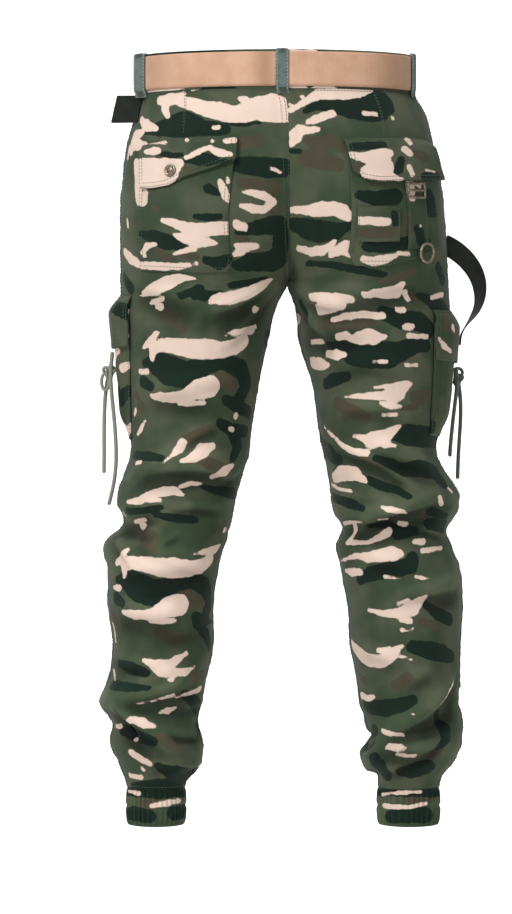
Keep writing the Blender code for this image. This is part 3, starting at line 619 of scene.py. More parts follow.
def lines_of(side):
    """Every fold and crease of one leg: its curve in bearing and drop, width, depth and lip."""
    t = np.linspace(0, 1, 25)
    lines = []

    def add(routes, width, depth, lip):
        curve = [(1 - t) ** 2 * a + 2 * t * (1 - t) * (2 * b - (a + c) / 2) + t**2 * c for a, b, c in routes]
        lines.append((t, *curve, width, depth, lip))

    for *places, width, depth, lip in np.concatenate(chains(FOLDS[side])):
        add((places[::2], places[1::2]), width, depth, lip)
    for own, creases in CREASES.items():
        for *places, width, depth, lip in chains(creases)[0]:
            bearings, drops, _ = seen_place(own, np.array(places[::2]), np.array(places[1::2]))
            if own != side:
                bearings, drops = -bearings, drops + CREASE_SHIFT
            add((bearings, drops), width, SQUEEZE * depth, SQUEEZE * lip)
    return lines


LINES = {side: lines_of(side) for side, _ in SIDES}


def rumple(places, drop):
    """Small uneven waves, longer round the leg than down it, most at the knee and the ankle."""
    flat = places.reshape(-1, 3)
    small = [noise.noise(Vector((x / 38, y / 38, z / 13))) for x, y, z in flat]
    broad = [noise.noise(Vector((x / 90 + 7, y / 90, z / 45))) for x, y, z in flat]
    waves = 1.5 * np.array(small) + 1.6 * np.array(broad)
    return waves.reshape(drop.shape) * (0.35 + 0.9 * bell(drop - 540, 70) + bell(drop - 800, 60))


def fold_height(side, bearing, drop):
    """How far folds and creases move the cloth out, or in where it is negative."""
    bearing, drop = (np.array(a, float) for a in np.broadcast_arrays(bearing, drop))
    outer, inner, back, front = section_at(side, drop, "outer inner back front")
    per_degree = math.radians(1) * (outer - inner + back + front) / 4
    height = np.zeros(bearing.shape)
    for t, line_bearing, line_drop, width, depth, lip in LINES[side]:
        reach = 5 * width
        near = (drop > line_drop.min() - reach) & (drop < line_drop.max() + reach)
        near &= (np.abs((bearing - line_bearing.mean() + 180) % 360 - 180) < np.ptp(line_bearing) / 2 + 60)
        if not near.any():
            continue
        around = ((bearing[near][:, None] - line_bearing + 180) % 360 - 180) * per_degree[near][:, None]
        below = drop[near][:, None] - line_drop
        nearest = np.argmin(around**2 + below**2, axis=-1)[:, None]
        far_around, far_below = (np.take_along_axis(far, nearest, -1)[:, 0] for far in (around, below))
        far = np.hypot(far_around, far_below) / width
        signed = far * np.where(far_below < 0, 1, -1)
        strength = np.sin(math.pi * np.clip(t[nearest[:, 0]], 0.04, 0.96)) ** 0.7
        height[near] += strength * (lip * bell(signed - 1.7, 1) - depth * bell(far, 1))
    return height * calm(side, bearing, drop)


def skin(side, bearing, drop):
    """The outside of the cloth at these places, folds and all."""
    bearing, drop = (np.array(a, float) for a in np.broadcast_arrays(bearing, drop))
    flat = base(side, bearing, drop)
    out = normal_of(base, side, bearing, drop)
    lift = fold_height(side, bearing, drop) + rumple(flat, drop) * (0.25 + 0.75 * calm(side, bearing, drop))
    return flat + out * lift[..., None]


# ---------------------------------------------------------------- the print
# A four-colour woodland camouflage in a repeat of 290 mm, printed on the face of the twill.
# It is charted as blotches: each is a chain of discs, given by their distance from
# x = 0, their drop and their radius, on the back of one leg or of one side of the seat.
REPEAT = 290.0
PRINT_WIDTH = 700.0
LEG_TOP = 276.0  # the leg's chart repeats from here down, and the seat's lies above
KNEE_TAKE_UP = 34.0  # cloth lost in the folds of the knee
LEG_LEAN = {LEFT: 3.0, RIGHT: 18.5}  # how far the grain moves out over the calf
INKS = ("cream", "dark", "brown")


def chart(text):
    """The chains of discs of each ink. A semicolon parts cream from dark, and dark from brown."""
    return dict(zip(INKS, map(chains, text.split(";"))))


# In the left seat's chart, the dark chains beside the centre seam at drops from 184 to 258 are print and also painted
# shade under the seat, by the crotch.
SEAT = {
    LEFT: chart("""
        118 27 2, 124 33 6, 138 36 8, 148 37 5 / 142 45 6, 138 55 4 / 122 38 7, 105 42 8, 92 47 9,
        78 49 11, 62 53 10, 45 52 11, 30 46 14, 12 46 17, -6 50 13 / 52 35 2, 44 36 5 / 109 23 2,
        98 21 2 / 83 69 3, 78 69 3.5 / 170 60 4, 163 67 7, 151 71 3 / 168 74 4, 177 80 8, 180 90 8,
        182 98 5 / 178 90 7, 165 91 5 / 184 94 4, 186 106 3 / 176 112 6, 174 128 8, 172 143 10,
        172 156 8 / 48 146 2, 36 147 4, 24 151 5, 11 158 4 / 50 163 2.5, 38 166 5, 24 168 4, 13 161 3 /
        55 186 5.5, 46 188 4 / 55 212 4, 44 213 5, 31 211 3 / 58 222 3, 50 217 5 / 15 118 1.5, 3 123 2 /
        190 218 5, 183 226 8, 172 233 5 / 187 180 2.5, 186 188 2.5 / 168 268 4, 152 262 9, 138 255 9,
        122 249 6, 107 250 2.5 / 84 275 5, 62 273 7, 42 267 7, 26 259 7, 14 251 3 ;
        170 76 2, 160 73 5, 146 70 10, 132 67 14, 120 65 16, 108 67 13, 96 70 10, 82 70 9, 68 72 6 /
        66 64 3, 46 65 3.5, 28 63 2 / 56 113 9, 38 115 11, 20 117 12, 0 117 11 / 54 194 4, 34 190 7,
        14 186 9, 2 184 8 / 54 236 8, 36 232 13, 16 232 14, 4 226 14, 2 200 12 / 62 258 5, 40 255 7,
        20 250 6 / 190 250 8, 182 262 8 / 120 270 5, 100 262 6 ;
        50 136 6, 30 138 7, 8 142 7 / 14 165 6, 8 168 6 / 56 200 4, 44 203 4 / 108 32 3, 122 25 2 /
        70 94 6, 50 88 8, 30 84 7
    """),
    RIGHT: chart("""
        7 49 3, 20 42 3, 33 34 4, 44 29 5.5, 58 29 6, 72 28 7.5, 88 25 8, 98 23 6, 105 23 3 / 23 32 2.5,
        24 32 2.5 / 8.5 41 2, 9 41 2 / 60 52 4, 50 55 5, 40 59 5, 30 62 3 / 43 71 3, 32 72 4, 20 72 7,
        14 81 8, 10 88 5 / 97 52 2.5, 112 53 2.5 / 131 57 2.5, 132 58 2.5 / 148 83 2.5, 153 88 2.5 /
        10 168 3, 28 168 5, 45 167 8, 62 166 7, 72 170 8, 79 176 5 / 17 214 3, 32 218 5, 48 217 6,
        62 206 3 / 60 219 6, 74 213 8, 82 219 6, 88 222 3 / 176 208 2, 170 216 3, 160 221 2 / 36 272 4,
        58 273 5, 82 275 4 / 106 268 4, 120 268 6, 136 266 7, 142 258 5 / 148 266 3, 150 274 4 /
        178 273 3, 192 269 3 ;
        26 50 3, 40 42 6, 60 44 8, 80 46 13, 98 46 17, 112 42 19, 121 40 15 / 8 97 3, 20 98 3 / 10 184 6,
        26 190 10, 46 194 11, 64 194 9, 78 188 5 / 30 232 4, 60 234 5, 90 240 6, 120 246 5 / 160 190 6,
        176 196 6 / 186 236 7, 192 252 8 ;
        30 84 6, 45 90 9, 60 86 9, 70 94 6 / 28 106 10, 48 108 12, 66 114 8 / 120 254 6, 140 248 7,
        156 242 5 / 50 176 1.2, 64 171 1.4, 79 167 1 / 49 222 1.2, 60 212 1.4, 74 205 1
    """),
}
# In the left leg's chart, the dark chains on the inner thigh, 40 to 84 mm out at drops from 350 to 464, are print and
# also painted shade.
LEG = {
    LEFT: chart("""
        167 333 3, 158 325 6, 151 315 3 / 157 347 3, 156 334 7, 145 330 8, 130 331 9, 112 334 11,
        95 335 12, 75 336 10, 58 333 9, 46 325 8 / 70 318 1, 58 315 3, 46 314 5, 38 313 5, 31 308 2 /
        172 362 3, 163 362 4 / 88 380 13, 102 383 12, 116 390 8, 130 393 6, 145 393 6, 158 391 3 /
        126 400 2.5, 110 401 3, 95 399 3 / 175 438 2, 170 430 4, 166 421 2 / 177 409 4, 178 413 3 /
        121 448 6, 124 454 6, 134 464 2.5, 142 471 1.5 / 86 452 5, 97 457 9, 108 465 7, 121 469 3 /
        62 476 5, 70 481 9, 82 489 4 / 122 500 4, 110 497 4, 96 498 2 / 186 518 3, 172 517 7, 158 509 8,
        145 506 9, 132 505 7, 119 511 2 / 165 516 4, 148 517 3 / 177 542 3, 168 540 3 / 56 415 4,
        57 416 4 / 64 430 3, 60 431 3 / 175 472 3.5, 170 471 3 / 190 531 4, 188 533 4 / 152 283 4,
        148 285 4 / 33 288 4, 30 288 3 / 198 330 6, 210 345 8, 204 362 7 / 200 398 4, 214 402 6 /
        205 470 5, 222 476 7, 236 470 4 / 22 350 5, 8 356 8, -8 352 5 / 30 396 5, 16 390 7, 4 396 3 /
        34 448 3, 20 452 7, 6 446 4 / 28 500 5, 12 508 6 ;
        166 352 5, 150 352 14, 135 361 17, 118 366 16, 104 362 14, 90 356 8, 68 354 4 / 168 374 8,
        158 380 6 / 178 462 6, 160 464 7, 144 466 5 / 184 528 6, 166 529 6, 148 525 5 / 96 500 3,
        80 505 7, 62 508 10, 46 512 10 / 84 350 6, 66 352 10, 50 360 12, 44 378 12, 52 394 10 / 68 396 7,
        54 404 9, 40 412 7 / 60 440 8, 54 452 10, 60 464 8 / 76 424 6, 62 432 8, 44 434 7 / 154 534 5,
        130 538 7, 106 540 6 / 200 300 8, 222 306 10 / 206 430 8, 224 440 10 / 20 320 9, 2 324 9 /
        16 474 8, 0 480 8 ;
        146 290 6, 132 300 9, 121 311 6 / 84 362 9, 70 370 11, 60 378 8 / 102 466 5, 84 474 9, 66 482 6 /
        120 446 5, 104 438 7, 90 430 5 / 176 390 5, 170 404 6, 180 416 4 / 200 500 8, 218 506 9 /
        20 428 7, 4 424 7
    """),
    RIGHT: chart("""
        42 288 6, 56 283 8, 70 281 6 / 58 300 3, 74 296 4, 98 294 4, 120 295 4 / 64 321 4, 74 318 5,
        84 324 4, 92 322 8, 104 319 9, 112 320 6 / 108 326 4, 122 320 3 / 32 327 3, 44 327 3 / 52 341 4,
        64 342 6, 74 341 3 / 35 352 7, 47 353 7, 55 354 3 / 109 350 2, 125 350 2 / 146 354 2, 161 354 2 /
        146 308 4, 156 308 3.5 / 150 319 3, 173 320 3 / 138 288 3.5, 146 288 3.5 / 75 392 1.5, 95 391 3.5,
        118 391 5, 129 390 8, 138 388 9, 146 382 5, 154 376 2 / 110 381 1.2, 130 379 3, 150 376 3 /
        118 400 3, 130 402 5, 141 404 2 / 120 414 2, 137 414 2 / 49 428 1.5, 62 441 2, 76 453 3.5,
        88 458 5, 100 459 5 / 85 439 2, 97 441 4, 108 444 10, 120 441 9, 130 434 6, 141 427 2 / 122 448 5,
        135 451 1.5 / 62 490 8, 72 484 13, 84 484 12, 94 490 7, 101 495 2 / 58 497 3, 70 503 3, 82 505 3 /
        119 524 2, 130 526 5, 142 529 4, 148 532 2 / 116 540 3.5, 123 540 3.5 / 200 503 4, 203 506 3 /
        186 512 3, 190 521 4 / 212 330 7, 228 340 9, 240 332 4 / 204 400 4, 220 396 8, 236 402 5 /
        210 452 5, 226 458 8 / 20 300 5, 6 296 7 / 24 380 4, 10 386 8, -6 380 4 / 26 462 5, 10 458 8 /
        30 520 5, 14 526 7 ;
        52 330 4, 68 334 8, 84 341 14, 104 342 16, 124 342 16, 140 338 12, 158 330 10, 172 330 8 /
        22 282 6, 28 296 8 / 38 430 7, 46 446 11, 56 460 13, 66 468 9 / 132 436 8, 150 438 13, 170 440 13,
        184 446 8 / 112 466 5, 128 472 8, 146 480 11, 164 478 13, 182 482 12, 192 496 10 / 104 492 7,
        118 499 9, 136 504 7, 150 512 5 / 120 292 8, 142 300 11, 164 302 12, 176 312 10 / 178 530 8,
        192 540 11, 200 552 8 / 50 378 6, 60 372 8, 76 368 6 / 60 512 8, 80 520 9, 96 526 5 / 206 366 9,
        226 372 10 / 16 420 9, 0 430 9 / 16 340 8, 2 346 8 ;
        46 306 6, 70 306 6, 95 303 5, 114 304 4 / 158 392 7, 176 392 9, 192 396 7 / 142 407 3, 160 403 5 /
        92 468 4, 108 470 7, 124 475 5 / 66 400 8, 84 410 9, 100 418 6 / 170 534 7, 186 540 8 / 206 424 8,
        222 428 8
    """),
}
# The calves, where the folds break the repeat up, down to the cuffs.
# Some of their dark chains are painted shade in the folds as well as print, as at the left ankle.
CALF_TOP = {LEFT: 662.0, RIGHT: 534.0}
CALF = {
    LEFT: chart("""
        166 708 2, 158 712 5, 148 716 9, 136 714 7, 126 707 5, 116 700 2.5 / 146 722 6, 130 723 6,
        116 722 4, 107 716 2 / 136 731 2.5, 134 731 2.5 / 177 761 1, 160 758 1.2, 138 752 2, 131 750 3 /
        128 753 1.2, 112 748 2.5, 100 743 4 / 148 772 1.5, 138 770 4, 127 766 1.5 / 190 783 1.5,
        180 779 4, 168 783 6, 156 786 3 / 199 787 3, 195 788 2.5 / 181 802 2, 180 803 2 / 182 819 4,
        172 826 5, 160 833 3 / 169 838 2.5, 167 840 2 / 184 846 3, 170 849 3 / 204 664 2, 200 686 2 /
        203 720 2, 201 732 2 ;
        196 712 5, 180 718 8, 164 724 5 / 104 664 7, 92 676 9, 88 690 8 / 120 748 4, 104 762 10,
        96 780 10, 104 796 6 / 194 792 6, 176 798 8, 156 806 6 / 150 836 5, 130 844 10, 112 850 9 /
        180 860 6, 150 858 8, 124 862 8 / 204 738 6, 184 741 6, 160 742 3 ;
        150 676 7, 126 682 8 / 110 730 6, 96 724 6 / 150 800 5, 130 812 7
    """),
    RIGHT: chart("""
        74 544 3, 84 543 3, 95 542 2 / 84 546 4, 84 556 4, 78 566 4, 98 566 3, 112 560 5, 124 555 6 /
        116 540 2.5, 123 541 2.5 / 140 546 3, 150 547 3 / 158 566 3, 168 566 4 / 167 577 3, 180 575 3,
        190 573 2 / 70 590 1, 88 583 3, 100 585 6, 116 583 7, 130 580 9, 140 580 5 / 76 601 3, 82 603 5,
        93 602 4 / 122 608 2.5, 130 609 1.5, 140 609 1 / 160 608 2.5, 168 610 2, 175 611 1 / 103 648 2,
        120 652 4, 140 652 6, 155 646 9, 165 637 5, 172 632 2 / 138 640 1.5, 150 637 3 / 142 660 3,
        152 661 4 / 143 672 2.5, 150 672 1.5, 156 671 1.5 / 83 688 5, 90 698 8, 102 708 8, 116 710 8,
        128 704 7, 136 696 5, 143 691 2 / 116 696 3, 128 696 4 / 140 703 2, 154 707 1.5 / 94 750 4,
        104 754 4, 110 752 2 / 149 771 1.3, 156 772 1.3 / 121 792 3, 130 795 4, 143 798 2.5 / 126 811 3,
        138 813 4, 146 814 2 / 136 822 3, 148 824 3, 158 824 2 / 202 734 1.5, 195 750 3, 190 760 2 ;
        100 548 3, 120 546 5, 140 556 8, 160 554 6 / 156 584 7, 152 596 9, 130 600 10, 108 604 9,
        92 612 6 / 176 545 8, 192 548 10 / 156 692 8, 172 696 11, 190 700 11, 202 704 8 / 100 764 8,
        120 766 10, 140 762 9, 156 756 6 / 108 826 8, 116 836 9, 124 846 8 / 172 642 5, 186 652 8,
        200 660 8 / 188 772 6, 196 790 9, 190 810 7 / 140 844 6, 160 842 8, 176 836 8 / 112 790 6,
        104 806 6 ;
        166 662 5, 182 668 6 / 150 728 6, 136 738 7 / 178 822 5, 188 816 6 / 90 724 5, 100 734 6
    """),
}


def across_cloth(side, bearing, drop):
    """How far round the cloth a place is from the middle of its panel, outwards."""
    bearing, drop = (np.array(a, float) for a in np.broadcast_arrays(bearing, drop))
    middle = np.where(bearing >= 0, 90.0, -90.0)
    share = np.linspace(0, 1, 15)
    way = middle[..., None] + (bearing - middle)[..., None] * share
    places = base(side, way, drop[..., None] + 0 * share)
    steps = np.linalg.norm(np.diff(places[..., :2], axis=-2), axis=-1).sum(axis=-1)
    lean = LEG_LEAN[side] * ease((drop - 420) / 180)
    return np.where(np.abs(bearing) < 90, steps, -steps) + lean


def along_cloth(drop):
    """How far down the cloth a place is, with what the knee's folds take up."""
    return drop + KNEE_TAKE_UP * ease((drop - 450) / 110)


def charted(side, discs):
    """A chart's blotches in the coordinates of the cloth."""
    made = []
    for chain in discs:
        out, drop, radius = chain.T
        bearing, drop, out = seen_place(side, out, drop)
        edges = np.sort(section_at(side, drop, "outer inner"), axis=0)
        across = across_cloth(side, bearing, drop) + out - np.clip(out, *edges)
        made.append(np.stack([across, along_cloth(drop), radius], axis=-1))
    return made


def blotches(discs, across, along, repeating=False):
    """How far inside the nearest blotch each place lies, and negative outside them."""
    best = np.full(np.shape(across), -30.0)
    for chain in discs:
        for (a, b, r), (a_2, b_2, r_2) in zip(chain, chain[1:] if len(chain) > 1 else chain):
            off = across - (a + a_2) / 2
            down = along - (b + b_2) / 2
            if repeating:
                off = (off + PRINT_WIDTH / 2) % PRINT_WIDTH - PRINT_WIDTH / 2
                down = (down + REPEAT / 2) % REPEAT - REPEAT / 2
            half_a, half_b = (a_2 - a) / 2, (b_2 - b) / 2
            t = np.clip((off * half_a + down * half_b) / (half_a**2 + half_b**2 + 1e-9), -1, 1)
            far = np.hypot(off - t * half_a, down - t * half_b)
            best = np.maximum(best, (r + r_2) / 2 + t * (r_2 - r) / 2 - far)
    return best


REPEATING = {
    ink: charted(LEFT, LEG[LEFT][ink])
    + [chain + (PRINT_WIDTH / 2, 0, 0) for chain in charted(RIGHT, LEG[RIGHT][ink])]
    for ink in INKS
}


def repeat_at(across, along):
    """The print's repeat at places on the flat cloth: its inks, and those places."""
    inks = {ink: blotches(REPEATING[ink], across, along, True) for ink in INKS}
    inks["cloth"] = np.stack(np.broadcast_arrays(across, along, 0.0), axis=-1)
    return inks


def print_behind(side, bearing, drop):
    """The print of a back panel: the seat's chart, the repeat on the thigh, and the calf's chart."""
    across, along = across_cloth(side, bearing, drop), along_cloth(drop)
    inks = repeat_at(across + (PRINT_WIDTH / 2 if side == RIGHT else 0), along)
    outside_leg = np.maximum(LEG_TOP - 4 - drop, drop - CALF_TOP[side])
    for ink in INKS:
        own = blotches(charted(side, SEAT[side][ink] + CALF[side][ink]), across, along)
        inks[ink] = np.maximum(inks[ink] - 5 * np.clip(outside_leg, 0, None), own)
    return inks


# ---------------------------------------------------------------- printed cotton twill
# 2/1 cotton twill: matt, with fine diagonal ribs and a short nap that catches the light at
# grazing angles. Its print carries painted shade and light from the folds: darker in their
# troughs and lighter on their crests, the cream less than the other colours.
TWILL_RIB = 2.2  # drawn four times coarser than the real 0.5 mm ribs, so that it shows
INK_EDGE = 0.7  # how far the print bleeds
CAMO = {"green": "404f39", "moss": "585f4a", "brown": "514d3b", "dark": "10261b", "cream": "fde3d2"}
CAMO_INSIDE = {"green": "6d7567", "moss": "747a69", "brown": "716c60", "dark": "4d5c52", "cream": "d9c8bb"}


def ribs(shader, distance, width):
    """The height of round ribs this wide, side by side along a distance."""
    turns = node(shader, "Math", distance, FULL_TURN / width, operation="MULTIPLY")
    return node(shader, "Math", turns, operation="SINE")


def twill(name, colours):
    """The printed twill, in these colours."""
    made, shader = new_material(
        name, Roughness=0.88, Specular_IOR_Level=0.12, Sheen_Weight=0.03, Sheen_Roughness=0.55
    )
    cloth = node(shader, "Attribute", output="Vector", attribute_name="cloth")
    bleed, mottle, fade, nap = (
        node(shader, "TexNoise", Vector=cloth, Scale=1 / size, Detail=detail)
        for size, detail in ((9.0, 3.0), (70.0, 2.0), (16.0, 4.0), (7.0, 3.0))
    )
    soft = {"interpolation_type": "SMOOTHSTEP"}
    tint = node(shader, "MapRange", mottle, 0.4, 0.62, 0, 1, **soft)
    tint = node(shader, "MixRGB", tint, linear(colours["green"]), linear(colours["moss"]))
    split = node(shader, "SeparateXYZ", cloth)
    rib = ribs(shader, node(shader, "Math", split, split.node.outputs[1], operation="ADD"), TWILL_RIB)
    # Painted shade and light: the fold height darkens the colour in a fold's trough and lightens it on its crest.
    fold = node(shader, "Attribute", output="Fac", attribute_name="fold")
    light = node(shader, "MapRange", fold, -3.5, 2.5, 0.4, 1.2, **soft)
    for other in (
        node(shader, "MapRange", fade, 0.3, 0.7, 0.94, 1.05, **soft),
        node(shader, "Math", rib, 0.03, 0.5, operation="MULTIPLY_ADD"),
    ):
        light = node(shader, "Math", light, other, operation="MULTIPLY")
    # The cream takes only part of this painted shade and light.
    pale_light = node(shader, "Math", light, 0.45, 0.245, operation="MULTIPLY_ADD")
    wander = node(shader, "Math", bleed, 4.5, -2.25, operation="MULTIPLY_ADD")
    for ink in ("brown", "dark", "cream"):
        depth = node(shader, "Attribute", output="Fac", attribute_name=ink)
        inside = node(shader, "Math", depth, wander, operation="ADD")
        inside = node(shader, "MapRange", inside, -INK_EDGE, INK_EDGE, 0, 1, **soft)
        colour = linear(colours[ink])
        if ink == "cream":
            tint = node(shader, "VectorMath", tint, Scale=light, operation="SCALE")
            colour = node(shader, "VectorMath", colour[:3], Scale=pale_light, operation="SCALE")
        tint = node(shader, "MixRGB", inside, tint, colour)
    relief = node(shader, "Math", nap, 0.9, operation="MULTIPLY")
    relief = node(shader, "Math", rib, 0.05, relief, operation="MULTIPLY_ADD")
    bump = node(shader, "Bump", Height=relief, Distance=0.0006, Strength=0.6)
    give(shader, {"Base Color": tint, "Normal": bump})
    return made


twill_face = twill("printed_cotton_twill", CAMO)
twill_back = twill("printed_cotton_twill_reverse", CAMO_INSIDE)

# ---------------------------------------------------------------- legs and seat
# Four panels run from the waistband to the cuffs, sewn at the sides, the inseams and the
# centre. Their seams stand a little proud and pucker, and the wrong side shows inside.
PANEL_ROWS, PANEL_COLUMNS = 270, 84
FRONT_PRINT = {LEFT: (350.0, 120.0), RIGHT: (0.0, 150.0)}  # where on the roll a front was cut
SEAM_BAND, SEAM_RISE, SEAM_PUCKER = 9.0, 0.9, 0.55
SEAM_LAP = 0.1  # past the seam line, so that no light comes through a seam


def shell(name, outside, inside, values, materials, slot, stands_for, ring=False):
    """A closed wall between two grids of points, whose values its materials read."""
    rows, columns, _ = outside.shape
    count = rows * columns
    face = grid_faces(rows, columns, ring)
    reverse = [[count + i for i in quad[::-1]] for quad in face]
    spans = range(columns if ring else columns - 1)
    rim = [(r * columns + c, r * columns + (c + 1) % columns) for r in (0, rows - 1) for c in spans]
    if not ring:
        rim += [(r * columns + c, (r + 1) * columns + c) for c in (0, columns - 1) for r in range(rows - 1)]
    edges = [[a, b, count + b, count + a] for a, b in rim]
    points = np.concatenate([outside.reshape(-1, 3), inside.reshape(-1, 3)])
    made = piece(name, points, face + reverse + edges, materials, slot, stands_for)
    marks = [0] * len(face) + [len(materials) - 1] * len(reverse) + [0] * len(edges)
    made.data.polygons.foreach_set("material_index", marks)
    for key, value in values.items():
        kind, reads, size = ("FLOAT_VECTOR", "vector", 3) if key == "cloth" else ("FLOAT", "value", 1)
        full = np.broadcast_to(np.reshape(value, np.shape(value)[:2] + (size,)), (rows, columns, size))
        layer = made.data.attributes.new(key, kind, "POINT")
        layer.data.foreach_set(reads, np.tile(full.ravel(), 2))
    return made


def from_edges(grid):
    """How far each point is from the first and last columns, and the first and last rows."""
    across = np.linalg.norm(np.diff(grid, axis=1, prepend=grid[:, :1]), axis=-1).cumsum(axis=1)
    down = np.linalg.norm(np.diff(grid, axis=0, prepend=grid[:1]), axis=-1).cumsum(axis=0)
    return across, across[:, -1:] - across, down, down[-1:] - down


def places_on(grid):
    """The place of each point on its own flat cloth, for a material to read."""
    across, _, down, _ = from_edges(grid)
    return {"cloth": np.stack([across, down, 0 * down], axis=-1)}


def cut_of(grid):
    """The size and area of a piece's cut, in metres, from the grid of its face."""
    beside = grid[:-1, 1:] - grid[:-1, :-1]
    below = grid[1:, :-1] - grid[:-1, :-1]
    area = np.linalg.norm(np.cross(beside, below), axis=-1).sum() * MM**2
    across, _, down, _ = from_edges(grid)
    width, length = across[:, -1].max() * MM, down[-1].max() * MM
    return {"flat": (float(width), float(length)), "area": float(min(area, width * length))}


sewn_grids = {}


def sewn(
    name, stands_for, grids, out, values, held, rests_on=(),
    slot="camo_twill", materials=(twill_face, twill_back), ring=False,
):
    """A wall of cloth between two grids, with the size that it was cut to.

    out holds the normals of its face, for the stitches that lie on it.
    """
    made = shell(name, *grids, values, materials, slot, stands_for, ring)
    cut = np.concatenate([grids[0], grids[0][:, :1]], axis=1) if ring else grids[0]
    rests = {"rests_on": rests_on} if rests_on else {}
    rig.sheet(made, held=held, **rests, **cut_of(cut))
    sewn_grids[stands_for] = (grids[0], out)


def uneven(along, seed, length):
    """A smooth random run between -1 and 1 over these places."""
    flat = [noise.noise(Vector((value / length, seed, 0.5))) for value in np.ravel(along)]
    return 1.6 * np.array(flat).reshape(np.shape(along))


for side, word in SIDES:
    for face, part in ((1, "back"), (-1, "front")):
        drop = np.linspace(WAIST_SEAM + SEAM, CUFF_SEAM - SEAM, PANEL_ROWS)[:, None]
        step = base(side, face * 90.5 + 0 * drop, drop) - base(side, face * 89.5 + 0 * drop, drop)
        lap = SEAM_LAP / np.linalg.norm(step, axis=-1)
        bearing = face * ((180 + 2 * lap) * np.linspace(0, 1, PANEL_COLUMNS) - lap)
        drop = drop + 0 * bearing
        cloth = skin(side, bearing, drop)
        out = unit(side * face * np.cross(np.gradient(cloth, axis=0), np.gradient(cloth, axis=1)))
        lift = 0 * drop
        for distance, seed in zip(from_edges(cloth)[:2], (1.3, 4.7)):
            pucker = uneven(drop[:, :1], seed + side, 5.0) * SEAM_PUCKER
            lift += (SEAM_RISE + pucker) * ease((SEAM_BAND + 1.5 - distance) / 3)
            lift -= 0.7 * bell(distance - SEAM_BAND - 2.5, 2)
        outside = cloth + out * lift[..., None]
        if face == 1:
            inks = print_behind(side, bearing, drop)
        else:
            shift = FRONT_PRINT[side]
            inks = repeat_at(across_cloth(side, bearing, drop) + shift[0], along_cloth(drop) + shift[1])
        # The fold height, from which the twill paints shade into the troughs and light onto the crests.
        inks["fold"] = fold_height(side, bearing, drop)
        sewn(f"{part}_panel_{word}", f"{part}_{word}", (outside, outside - out * CLOTH), out, inks, "hung")

# ---------------------------------------------------------------- waistband
# A folded band with a rolled top edge, closed at the centre front under the buckle.
WAISTBAND_TOP, WAISTBAND_FOOT, WAISTBAND_THICK = 24.0, 22.0, 2.5
WAISTBAND_CUT = (140.0, 60.0)  # where on the roll it was cut


def round_waist(turn, height, out):
    """Points round the waist, level with its seam.

    The turn runs from 0 at the centre back past the left side. The height is above the
    middle of the waistband, and follows the seam's own rise and fall.
    """
    turn, height, out = np.broadcast_arrays(*(np.array(v, float) for v in (turn, height, out)))
    turn = turn % 360
    points = np.zeros(turn.shape + (3,))
    for side, _ in SIDES:
        mine = turn <= 180 if side == LEFT else turn > 180
        bearing = 180 - 2 * turn[mine] if side == LEFT else 2 * turn[mine] - 540
        below_seam = np.maximum(0, -WAISTBAND_FOOT - height[mine])
        drop = WAIST_SEAM + SEAM + below_seam
        place = base(side, bearing, drop)
        place[:, 2] += SEAM + WAISTBAND_FOOT + height[mine] + below_seam
        points[mine] = place + normal_of(base, side, bearing, drop) * out[mine][:, None]
    return points


def printed(cut, points):
    """The print of a piece, from its own chart as the camera sees it, or from its place on the roll."""
    if not isinstance(cut, dict):
        across, _, down, _ = from_edges(points)
        return repeat_at(across + cut[0], down + cut[1])
    nearer = 1 - points[..., 1] * MM / VIEW_DISTANCE
    middle, eye = PICTURE_MIDDLE[0] / MM, EYE_HEIGHT / MM
    across = np.abs(middle + (points[..., 0] - middle) / nearer)
    along = -(eye + (points[..., 2] - eye) / nearer)
    inks = {ink: blotches(cut.get(ink, ()), across, along) for ink in INKS}
    return {**inks, "cloth": np.stack([across, along, 0 * across], axis=-1)}


band_turn = np.linspace(180.05, 539.95, 361)[None, :]
band_height = np.linspace(WAISTBAND_TOP, -WAISTBAND_FOOT, 25)[:, None]
rolled = 0.9 * np.clip(1 - (WAISTBAND_TOP - band_height) / 2.5, 0, 1) ** 2
ripple = 0.35 * uneven(band_turn, 2.0, 4.0) * ease((WAISTBAND_TOP - band_height) / 12)
outside = round_waist(band_turn, band_height, 0.4 - rolled + ripple)
inside = round_waist(band_turn, band_height, 0.4 - WAISTBAND_THICK + rolled + 0 * band_turn)
values = {**printed(WAISTBAND_CUT, outside), "fold": np.zeros((1, 1))}
sewn("waistband_cloth", "waistband", (outside, inside), None, values, "laid", ["back_left", "back_right"])

# ---------------------------------------------------------------- belt
# A 40 mm cotton webbing belt with a rolled selvedge. Its end laps under at the left front.
BELT_WIDTH, BELT_THICK = 40.0, 2.6
BELT_START, BELT_END, BELT_LAP = 168, 562, 528
BELT_LOOP_SHADOWS = ((22, 12, 0.8), (-133, 24, 0.75), (150, 14, 0.4))  # painted shadow where the belt dips under its loops: x, reach, share
BELT_RIB = 1.9  # drawn a little coarser than the real 1.2 mm picks
webbing, shader = new_material(
    "cotton_webbing", Roughness=0.82, Specular_IOR_Level=0.25, Sheen_Weight=0.1, Sheen_Roughness=0.5
)
cloth = node(shader, "Attribute", output="Vector", attribute_name="cloth")
stain = node(shader, "TexNoise", Vector=cloth, Scale=1 / 24, Detail=4.0)
stain = node(shader, "MapRange", stain, 0.35, 0.7)
dyed = node(shader, "MixRGB", stain, linear("a7866f"), linear("9a7860"))
# Painted shadow: where the loops shade the belt, its colour is mixed towards a darker brown.
worn = node(shader, "Attribute", output="Fac", attribute_name="worn")
picks = ribs(shader, node(shader, "SeparateXYZ", cloth), BELT_RIB)
give(shader, {
    "Base Color": node(shader, "MixRGB", worn, dyed, linear("84664e")),
    "Normal": node(shader, "Bump", Height=picks, Distance=0.0002, Strength=0.5),
})

